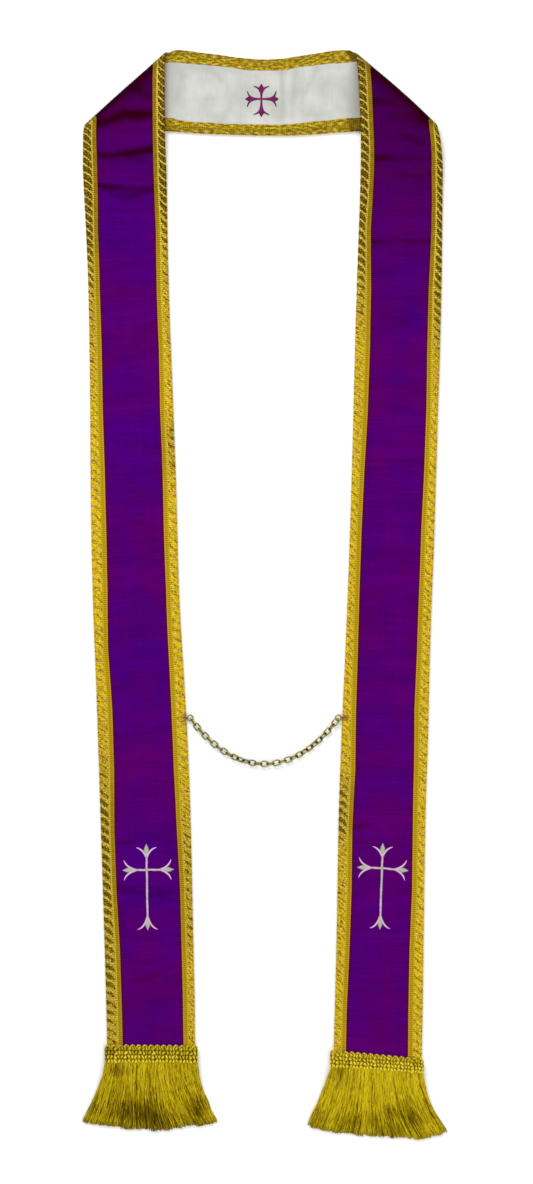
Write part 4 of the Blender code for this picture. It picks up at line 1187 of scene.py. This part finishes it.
def makeStrands(side):
    # Every strand runs from under the header to its tip: x spreads with a power of the way down, y falls
    # evenly, z sinks with the square of the way left. Strands of one lock draw together towards the tip,
    # and a few wander across their neighbours.
    plan = {**fringePlan, **fringePlan[side]}
    count, rings, locks = plan["strands"], plan["rings"], plan["locks"]
    random = np.random.default_rng(plan["seed"])
    share = (np.arange(count) + random.uniform(0.1, 0.9, count)) / count
    layer = random.integers(0, plan["layers"], count)
    lock = (np.floor(share * locks) + 0.5) / locks
    wander = random.normal(0.0, plan["wander"], count)
    strays, strayReach = plan["strays"]
    isStray = random.uniform(size=count) < strays
    wander = wander + np.where(isStray, random.normal(0.0, strayReach, count), 0.0)
    tipShare = np.clip(share + (lock - share) * plan["lockPull"] + wander, 0.0, 1.0)
    tips = np.array(plan["tips"])
    marks = np.linspace(0.0, 1.0, len(tips))
    tipX = np.interp(tipShare, marks, tips[:, 0])
    ragged = random.normal(0.0, plan["ragged"], locks + 1)[np.floor(share * locks).astype(int)]
    short, past = plan["short"]
    tipY = np.interp(tipShare, marks, tips[:, 1]) + ragged + np.abs(random.normal(0.0, short, count)) - past
    rootX, _, rootY = headerLine(side, np.clip(share, 0.012, 0.988))
    rootIn, rootRise, rootStep = plan["root"]
    rootY = rootY + rootIn
    rootZ = headerFloor(side, rootX, rootY) + rootRise + rootStep * layer
    t = np.linspace(0.0, 1.0, rings)[None]
    flare = fromTable([(0.0, plan["flare"][0]), (0.5, plan["middleFlare"]), (1.0, plan["flare"][1])], share)
    waveWidth, *turns = plan["wave"]
    wave = random.normal(0.0, waveWidth, count)[:, None]
    wave = wave * np.sin(math.pi * t * random.uniform(*turns, count)[:, None])
    x = rootX[:, None] + (tipX - rootX)[:, None] * t ** flare[:, None] + wave
    y = rootY[:, None] + (tipY - rootY)[:, None] * t
    lie = plan["lie"] + plan["layerStep"] * layer[:, None]
    hump, middle, reach = plan["hump"]
    z = lie + (rootZ[:, None] - lie) * (1 - t) ** plan["sink"] + hump * bell(t - middle, reach)
    radii = plan["thick"] * (1 - 0.25 * t**6) * random.uniform(0.85, 1.15, count)[:, None]
    z = np.maximum(z, radii + 0.05)
    points, faces = tubes(np.stack([x, y, z], axis=-1), radii, plan["sides"])
    perStrand, perClump, perRing = plan["toneSpreads"]
    clump = random.normal(0.0, perClump, 3 * locks)[np.floor(tipShare * (3 * locks - 1)).astype(int)]
    glint, *turns = plan["glint"]
    phase = random.uniform(0.0, 2 * math.pi, count)[:, None] + t * random.uniform(*turns, count)[:, None]
    tone = plan["tone"] + plan["lift"] + (random.normal(0.0, perStrand, count) + clump)[:, None]
    tone = tone + plan["layerTone"] * (layer[:, None] - 2) + glint * np.sin(phase)
    tone = tone + random.normal(0.0, perRing, (count, rings))
    # the lower layers darken towards their tips
    tone = tone - plan["tipShade"] * t**8 * (layer[:, None] < 3)
    for shadeX, shadeY, wideX, wideY, depth in plan["shade"]:
        broken = depth * (0.75 + 0.5 * random.uniform(size=count))[:, None]
        tone = tone - broken * np.exp(-(((x - shadeX) / wideX) ** 2) - ((y - shadeY) / wideY) ** 2)
    return points, faces, np.repeat(np.clip(tone, 0.02, 0.98)[:, :, None], plan["sides"], axis=2)


def makeHeader(side):
    # A crocheted band: over a flat wall the height is a product of rounded cosines, one bead for each
    # stitch, in straight columns. The closed section goes down the front, bead by bead, and back along the
    # flat underside.
    plan = {**fringePlan, **fringePlan[side]}
    share = np.linspace(0.0, 1.0, plan["headerColumns"])[:, None]
    down = np.concatenate([np.linspace(0.0, 1.0, plan["headerSteps"]), [1.0, 0.5, 0.0]])[None]
    x, top, bottom = headerLine(side, share)
    y = top + (bottom - top) * down
    x = np.broadcast_to(x, y.shape)
    length = abs(plan["outer"][0] - plan["inner"][0])
    random = np.random.default_rng(plan["headerSeed"])
    u = share * length / plan["column"]
    v = down * plan["rows"] - 0.5
    lean = 0.13 * np.sin(u * 1.7) + 0.16 * np.sin(v * 5 + 1.7 * u)
    row = np.round(v + 0.08 * np.sin(u * 2.3))
    column = np.round(u + lean + 0.14 * np.sin(row * 2.1))
    beside = 2 * (u + lean + 0.14 * np.sin(row * 2.1) - column)
    below = 2 * (v + 0.08 * np.sin(u * 2.3) - row)
    bead = 0.35 + 0.65 * np.clip(1 - abs(below) ** 2.4, 0, 1) ** 0.6
    bead = np.clip(1 - abs(beside) ** 2, 0, 1) ** 0.7 * bead
    stitchTone = random.normal(0.0, 0.11, (60, 8))
    pick = stitchTone[np.clip(column, 0, 59).astype(int), np.clip(row, 0, 7).astype(int)]
    size = 1 + 1.2 * np.clip(pick, -0.2, 0.2)
    isFront = (np.arange(down.shape[1]) < plan["headerSteps"])[None]
    front = plan["headerWall"] - 0.3 + plan["beadHeight"] * bead * size
    z = headerFloor(side, x, y) + np.where(isFront, front, 0.0)
    endAway = np.minimum(share, 1 - share) * length
    roundEnd = np.sqrt(1 - (1 - np.clip(endAway / 2.0, 0, 1)) ** 2)
    z = np.where(isFront, z - (1 - roundEnd) * 1.2, z)
    brightness = fromTable(plan["headerShades"], down * plan["rows"])
    atEnd = plan["endShade"] * bell((1 - share) * length, 6.0)
    tone = plan["headerTone"] + brightness * 1.5 * np.clip(bead, 0, 1) ** 2 + 0.8 * pick
    tone = tone - 0.2 * (1 - roundEnd) - atEnd
    points = np.stack([x, y, z], axis=-1).reshape(-1, 3) * mm
    return points, tubeFaces(*y.shape), np.clip(np.where(isFront, tone, 0.2), 0, 1)


def makeLoops(side):
    # The picots along the top of the header: thread tubes in half ellipses, standing up out of the first row.
    count, rings, sides = fringePlan["loops"], fringePlan["loopRings"], fringePlan["loopSides"]
    middle = (np.arange(count) + 0.5) / count
    turn = np.linspace(-0.14, 1.14, rings)[None] * math.pi
    x, top, _ = headerLine(side, middle[:, None] + np.cos(turn) * 0.34 / count)
    y = top - 1.5 + 2.8 * np.sin(turn)
    z = headerFloor(side, x, y) + 0.5 + 1.1 * np.sin(turn)
    points, faces = tubes(np.stack([x, y, z], axis=-1), np.full(x.shape, fringePlan["loopWire"]), sides)
    twist = np.sin(np.arange(rings)[None, :, None] * 2.1 + np.arange(sides) * math.pi / 4)
    tone = 0.66 + 0.24 * twist + 0.15 * np.cos(turn)[:, :, None]
    return points, faces, np.broadcast_to(tone, (count, rings, sides))


def joined(*parts):
    # Several (points, faces, tone) as one.
    points, faces, tones, first = [], [], [], 0
    for part, groups, tone in parts:
        points.append(part)
        faces += [group + first for group in turnedOutwards(part, groups)]
        tones.append(np.ravel(tone))
        first += len(part)
    return np.concatenate(points), faces, np.concatenate(tones)


for side in ("left", "right"):
    strands, header = f"fringe{side.capitalize()}", f"fringeHeader{side.capitalize()}"
    points, faces, tone = makeStrands(side)
    nodes = (f"fringe_{side}",)
    addPiece(strands, points, faces, fringeGold, slot="gold_fringe", nodes=nodes, tone=tone)
    points, faces, tone = joined(makeHeader(side), makeLoops(side))
    addPiece(header, points, faces, crochetGold, slot="gold_fringe", tone=tone)

# The embroidered crosses. For each of the four arms: how far it reaches, how many degrees it is turned, and
# how far its petals' ends lie back from its tip.
crossPlan = {
    "cross_left": {
        "at": (-134.3, -314.1),
        "reach": (31.1, 29.6, 27.6, 68.9),
        "turns": (1.0, 1.0, 1.0, 1.0),
        "back": (3.3, 4.0, 1.7, 1.0),
    },
    "cross_right": {
        "at": (134.0, -312.1),
        "reach": (30.4, 28.5, 28.2, 69.9),
        "turns": (-5.5, -2.0, -2.0, -2.0),
        "back": (3.3, 4.0, 1.9, 1.2),
    },
    "cross_neck": {
        "at": (-3.6, 565.1),
        "reach": (19.7, 17.1, 18.6, 20.2),
        "turns": (0.0, 0.0, 0.0, 0.0),
        "back": (2.8, 2.6, 2.6, 2.5),
    },
}
stitchFloor = 2 * strip["plyTop"] + 0.12
strokeSides = 9
pathPoints = 16


def stroke(path, halves, crown):
    # One stroke of satin stitch: along the path (rows, 2), a half ellipse as wide as halves and crown high.
    # Returns points, faces, the crown's share and the map: across the stroke and along it.
    shape = (len(path), strokeSides)
    ahead = unit(np.gradient(path, axis=0))
    aside = np.stack([-ahead[:, 1], ahead[:, 0]], axis=1)
    angle = np.linspace(0.0, math.pi, strokeSides)[None]
    across = np.cos(angle) * halves[:, None]
    plan = path[:, None] + aside[:, None] * across[..., None]
    z = stitchFloor + crown * np.sin(angle) * np.minimum(1.0, halves / halves.max() + 0.25)[:, None]
    points = np.concatenate([plan, z[..., None]], axis=-1).reshape(-1, 3) * mm
    along = np.broadcast_to(lengthsAlong(path)[:, None], shape)
    uv = np.stack([across, along], axis=-1).reshape(-1, 2) * mm
    return points, tubeFaces(*shape), np.broadcast_to(np.sin(angle), shape).ravel(), uv


def arc(start, control, end):
    # A quadratic curve from start to end, drawn towards control.
    t = np.linspace(0.0, 1.0, pathPoints)[:, None]
    return (1 - t) ** 2 * np.array(start) + 2 * t * (1 - t) * np.array(control) + t**2 * np.array(end)


def straight(start, end, count=pathPoints):
    return np.stack([np.linspace(start, end, count), np.zeros(count)], axis=1)


def armStrokes(reach, back, isNeck):
    # The strokes of one arm that points along +x: its stem, two petals and a bud, as (kind, path, half
    # widths).
    t = np.linspace(0.0, 1.0, pathPoints)
    petals = []
    for way in (1, -1):
        if isNeck:
            petal = arc((reach - 9.0, way * 0.6), (reach - 4.2, way * 2.2), (reach - back, way * 8.8))
            petals.append(("petal", petal, 1.55 - 1.05 * t**1.2))
        else:
            bend = (reach - back - 2.2, way * 3.4)
            petal = arc((reach - 15.0, way * 0.5), bend, (reach - back, way * 11.6))
            petals.append(("petal", petal, 1.25 - 0.95 * t**3.5))
    if isNeck:
        stem = ("petal", straight(-0.5, reach - 5.0), 1.05 + 1.9 * t**2.2)
        bud = ("bud", straight(reach - 8.5, reach), 0.35 + 2.5 * np.sin(math.pi * t**0.75) ** 1.1)
        return [stem, bud, *petals]
    path = straight(0.0, reach - 8.0, 40)
    path[:, 1] = 0.12 * np.sin(np.linspace(0, 9, 40))
    stem = ("petal", path, np.full(40, 1.32) + 0.1 * np.sin(np.linspace(0, 21, 40)))
    bud = ("bud", straight(reach - 14.0, reach), 0.3 + 2.65 * np.sin(math.pi * t**0.95) ** 1.3)
    return [stem, *petals, bud]


def makeCross(node, plan):
    isNeck = node == "cross_neck"
    parts = {"petal": [], "bud": []}
    for quarter, reach in enumerate(plan["reach"]):
        angle = math.radians(90 * quarter + plan["turns"][quarter])
        turned = np.array([[math.cos(angle), math.sin(angle)], [-math.sin(angle), math.cos(angle)]])
        for order, (kind, path, halves) in enumerate(armStrokes(reach, plan["back"][quarter], isNeck)):
            crown = (0.75 if isNeck else 0.95) + 0.05 * order + 0.03 * quarter
            points, faces, high, uv = stroke(path @ turned + np.array(plan["at"]), halves, crown)
            if order in (1, 2):
                # on the bands both petals pale towards their tips; on the neck the bud and one petal darken
                reached = np.repeat(np.linspace(0.0, 1.0, len(path)), strokeSides)
                high = high - 0.9 * reached**1.5 if isNeck else high * (0.85 + 0.45 * reached**2)
            elif not isNeck:
                high = high * 0.75
            parts[kind].append((points, faces, high, uv))
    if not isNeck:
        # a small knot where the arms meet
        knot = np.array(plan["at"]) + straight(-1.7, 1.7, 9)
        points, faces, high, uv = stroke(knot, 0.2 + 1.2 * np.sin(np.linspace(0, math.pi, 9)), 1.3)
        parts["bud"].append((points, faces, high * 0.6, uv))
    for kind, strokes in parts.items():
        points, faces, high = joined(*[(p, f, h) for p, f, h, _ in strokes])
        name = node.replace("_", " ").title().replace(" ", "") + kind.capitalize()
        material = purpleStitch if isNeck else (silverStitch if kind == "petal" else budStitch)
        addPiece(
            name, points, faces, material, slot="purple_embroidery" if isNeck else "silver_embroidery",
            nodes=(node,) if kind == "petal" else (), uv=np.concatenate([u for *_, u in strokes]), crown=high,
        )


for node, plan in crossPlan.items():
    makeCross(node, plan)

# The chain hangs between two end rings. roll turns each link by this many degrees more, by its number.
chainPlan = {
    "y": -140.8,
    "z": 2.6,
    "wire": 1.7,
    "wireSides": 10,
    "ring": 3.3,
    "ringWire": 1.5,
    "ringPoints": 28,
    "clearance": 0.4,
    "ringToLink": 6.0,
    "pitch": 6.95,
    "links": 29,
    "length": 10.4,
    "width": 7.6,
    "tilt": 45.0,
    "roll": [
        (0, 35), (6, 35), (8, 25), (10, 0), (12, -28), (14, -38), (17, -38), (20, -14), (23, -4), (26, -22),
        (28, -30),
    ],
}


def wireLoops(paths, radius, sides):
    # Closed wires of round section. paths is (wires, points, 3) in mm; the section lies square to the path,
    # with its second axis across the loop's own plane. Also says how far up or down each point faces, 0 to
    # 1.
    count, rings = paths.shape[:2]
    ahead = unit(np.roll(paths, -1, axis=1) - np.roll(paths, 1, axis=1))
    outwards = paths - paths.mean(axis=1, keepdims=True)
    plane = unit(np.cross(outwards, ahead).mean(axis=1, keepdims=True))
    plane = np.broadcast_to(plane, ahead.shape)
    radial = np.cross(ahead, plane)
    angle = (2 * math.pi * np.arange(sides) / sides)[:, None]
    ring = radial[:, :, None] * np.cos(angle) + plane[:, :, None] * np.sin(angle)
    points = paths[:, :, None] + ring * radius
    faces = [gridFaces(rings + 1, sides) % (rings * sides)]
    # painted reflection: how far each point of the wire faces up or down
    rubbed = np.broadcast_to(abs(ring[..., 2]) ** 3, points.shape[:-1])
    return points.reshape(-1, 3) * mm, repeatedFaces(faces, count, rings * sides), rubbed


def chainCurve():
    # The catenary between the two rings: the scale a is halved into place until 2 a sinh(half / a) is the
    # length.
    reach = chainPlan["clearance"] + chainPlan["ring"] + chainPlan["ringWire"] / 2
    leftX = edgeAt("left", 1, chainPlan["y"]) + reach
    rightX = edgeAt("right", 1, chainPlan["y"]) - reach
    half = (rightX - leftX) / 2
    length = (chainPlan["links"] - 1) * chainPlan["pitch"] + 2 * chainPlan["ringToLink"]
    low, high = half / 5, half * 50
    for _ in range(80):
        middle = (low + high) / 2
        low, high = (middle, high) if 2 * middle * math.sinh(half / middle) > length else (low, middle)
    a = (low + high) / 2
    along = chainPlan["ringToLink"] + np.arange(chainPlan["links"]) * chainPlan["pitch"] - length / 2
    x = a * np.arcsinh(along / a)
    y = chainPlan["y"] + a * np.cosh(x / a) - a * math.cosh(half / a)
    return (leftX, rightX), (leftX + rightX) / 2 + x, y, np.arctan(np.sinh(x / a))


def makeChain():
    # An oval link is two half circles joined by straight sides; each is tilted about its own length, one
    # way and the other in turn, on top of the roll of the whole chain, and then turned along the catenary.
    # The chain's height is what its steepest link needs: half its width times the sine of its tilt, and
    # half the wire.
    ends, x, y, heading = chainCurve()
    wire = chainPlan["wire"] / 2
    radius = (chainPlan["width"] - chainPlan["wire"]) / 2
    side = (chainPlan["length"] - chainPlan["width"]) / 2
    angle = np.linspace(-math.pi / 2, math.pi / 2, 13)
    half = np.stack([side + radius * np.cos(angle), radius * np.sin(angle)], axis=1)
    ovalX, ovalY = np.concatenate([half, -half]).T[:, None]
    number = np.arange(chainPlan["links"])
    roll = np.radians(fromTable(chainPlan["roll"], number))
    tilt = (np.radians(chainPlan["tilt"]) * (-1.0) ** number + roll)[:, None]
    lift = radius * np.sin(np.radians(chainPlan["tilt"]) + abs(roll)) + wire + 0.1
    cos, sin = np.cos(heading)[:, None], np.sin(heading)[:, None]
    flatY = ovalY * np.cos(tilt)
    linkX = x[:, None] + ovalX * cos - flatY * sin
    linkY = y[:, None] + ovalX * sin + flatY * cos
    links = np.stack([linkX, linkY, lift[:, None] + ovalY * np.sin(tilt)], axis=-1)
    around = 2 * math.pi * np.arange(chainPlan["ringPoints"]) / chainPlan["ringPoints"]
    ringX = np.array(ends)[:, None] + chainPlan["ring"] * np.cos(around)
    ringY = np.broadcast_to(chainPlan["y"] + chainPlan["ring"] * np.sin(around), ringX.shape)
    rings = np.stack([ringX, ringY, np.full(ringX.shape, chainPlan["z"])], axis=-1)
    sides = chainPlan["wireSides"]
    points, faces, rubbed = joined(
        wireLoops(links, wire, sides), wireLoops(rings, chainPlan["ringWire"] / 2, sides)
    )
    nodes = ["ring_left", "ring_right"] + [f"link_{count + 1:02d}" for count in number]
    addPiece("chain", points, faces, brass, body="chain", slot="antique_brass", nodes=nodes, rubbed=rubbed)
    return ends


ringCentres = makeChain()

# Brown thread holds each end ring: turns go round the ring's wire and into the galloon, each offset along
# it, and stitches of this length and rise fan out from the ring over the galloon's edge and lie on the
# trim.
sewingPlan = {
    "turns": (-0.9, -0.3, 0.35, 0.95),
    "turnPoints": 24,
    "turnWire": 0.26,
    "stitches": ((5.2, -3.4), (7.8, -1.5), (9.6, 0.4), (8.2, 2.1), (5.6, 3.6)),
    "stitchPoints": 14,
    "stitchWire": 0.36,
    "sides": 6,
}


def topOf(piece, x, y):
    # The highest vertex of a piece within 1.2 mm of each x, y, in mm.
    flat = np.empty(3 * len(piece.data.vertices))
    piece.data.vertices.foreach_get("co", flat)
    vertexX, vertexY, vertexZ = (flat.reshape(-1, 3) / mm).T[:, None]
    near = np.hypot(vertexX - np.ravel(x)[:, None], vertexY - np.ravel(y)[:, None]) < 1.2
    return np.where(near, vertexZ, 0.0).max(axis=1).reshape(np.shape(x))


def makeSewing():
    turnPaths, stitchPaths = [], []
    plan, ringY, ringZ = sewingPlan, chainPlan["y"], chainPlan["z"]
    turn = 2 * math.pi * np.arange(plan["turnPoints"]) / plan["turnPoints"]
    t = np.linspace(0.0, 1.0, plan["stitchPoints"])
    for centre, way in zip(ringCentres, (-1, 1)):
        wireX = centre + way * chainPlan["ring"]
        for number, offset in enumerate(plan["turns"]):
            x = wireX + way * 0.75 + (1.75 + 0.12 * (number % 2)) * np.cos(turn)
            y = ringY + offset + 0.22 * np.sin(turn + number)
            z = ringZ + (1.15 + 0.05 * number) * np.sin(turn)
            turnPaths.append(np.stack([x, y, z], axis=-1))
        for length, rise in plan["stitches"]:
            x = wireX + way * (0.6 + length * t)
            y = ringY + 0.25 * rise + 0.75 * rise * t
            z = np.maximum(topOf(galloonInner, x, y) + 0.15, ringZ + 1.1 - 2 * t) - 0.5 * t**8
            stitchPaths.append(np.stack([x, y, z], axis=-1))
    turns, turnFaces, _ = wireLoops(np.array(turnPaths), plan["turnWire"], plan["sides"])
    radii = np.full((len(stitchPaths), plan["stitchPoints"]), plan["stitchWire"])
    stitches, stitchFaces = tubes(np.array(stitchPaths), radii, plan["sides"])
    points, faces, tone = joined(
        (turns, turnFaces, np.full(len(turns), 0.6)), (stitches, stitchFaces, np.full(len(stitches), 0.5))
    )
    addPiece("ringSewing", points, faces, sewingBrown, slot="gold_galloon", tone=tone)


makeSewing()

def makeStage():
    mesh = bpy.data.meshes.new("floor")
    corners = [(x, y, -0.0003) for x, y in ((-4, -4), (4, -4), (4, 4), (-4, 4))]
    mesh.from_pydata(corners, [], [(0, 1, 2, 3)])
    floor = bpy.data.objects.new("floor", mesh)
    material, tree = newMaterial("paleFloor", Roughness=0.9, Specular_IOR_Level=0.1)
    grain = noise(tree, mapped(tree, "Object"), 3.0, 2.0)
    feedSurface(tree, ramped(tree, grain, [(0.0, "#FBFBFA"), (1.0, "#FDFDFC")]))
    mesh.materials.append(material)
    bpy.context.scene.collection.objects.link(floor)


def addLight(name, place, size, watts, turn):
    light = bpy.data.lights.new(name, "AREA")
    light.shape, light.size, light.energy = "SQUARE", size, watts
    lamp = bpy.data.objects.new(name, light)
    lamp.location, lamp.rotation_euler = place, [math.radians(v) for v in turn]
    bpy.context.scene.collection.objects.link(lamp)


makeStage()
world = bpy.data.worlds.new("studio")
world.use_nodes = True
world.node_tree.nodes["Background"].inputs["Color"].default_value = (1.0, 1.0, 1.0, 1.0)
world.node_tree.nodes["Background"].inputs["Strength"].default_value = 0.83
bpy.context.scene.world = world
addLight("keyLight", (-1.2, 2.4, 2.2), 1.6, 64.0, (-48, -22, 0))
addLight("fillLight", (1.6, -1.6, 2.6), 2.2, 22.0, (32, 28, 0))
bpy.context.scene.view_settings.view_transform = "Standard"

camera = bpy.data.cameras.new("camera")
camera.sensor_fit = "VERTICAL"
camera.sensor_height = 24.0
camera.lens = 85.0
frameHeight = 1.3498  # what the picture shows from top to bottom, in metres
viewer = bpy.data.objects.new("camera", camera)
viewer.location = (0.00228, 0.00285, 0.004 + frameHeight * camera.lens / camera.sensor_height)
bpy.context.scene.collection.objects.link(viewer)
bpy.context.scene.camera = viewer
print("stole: stage made")
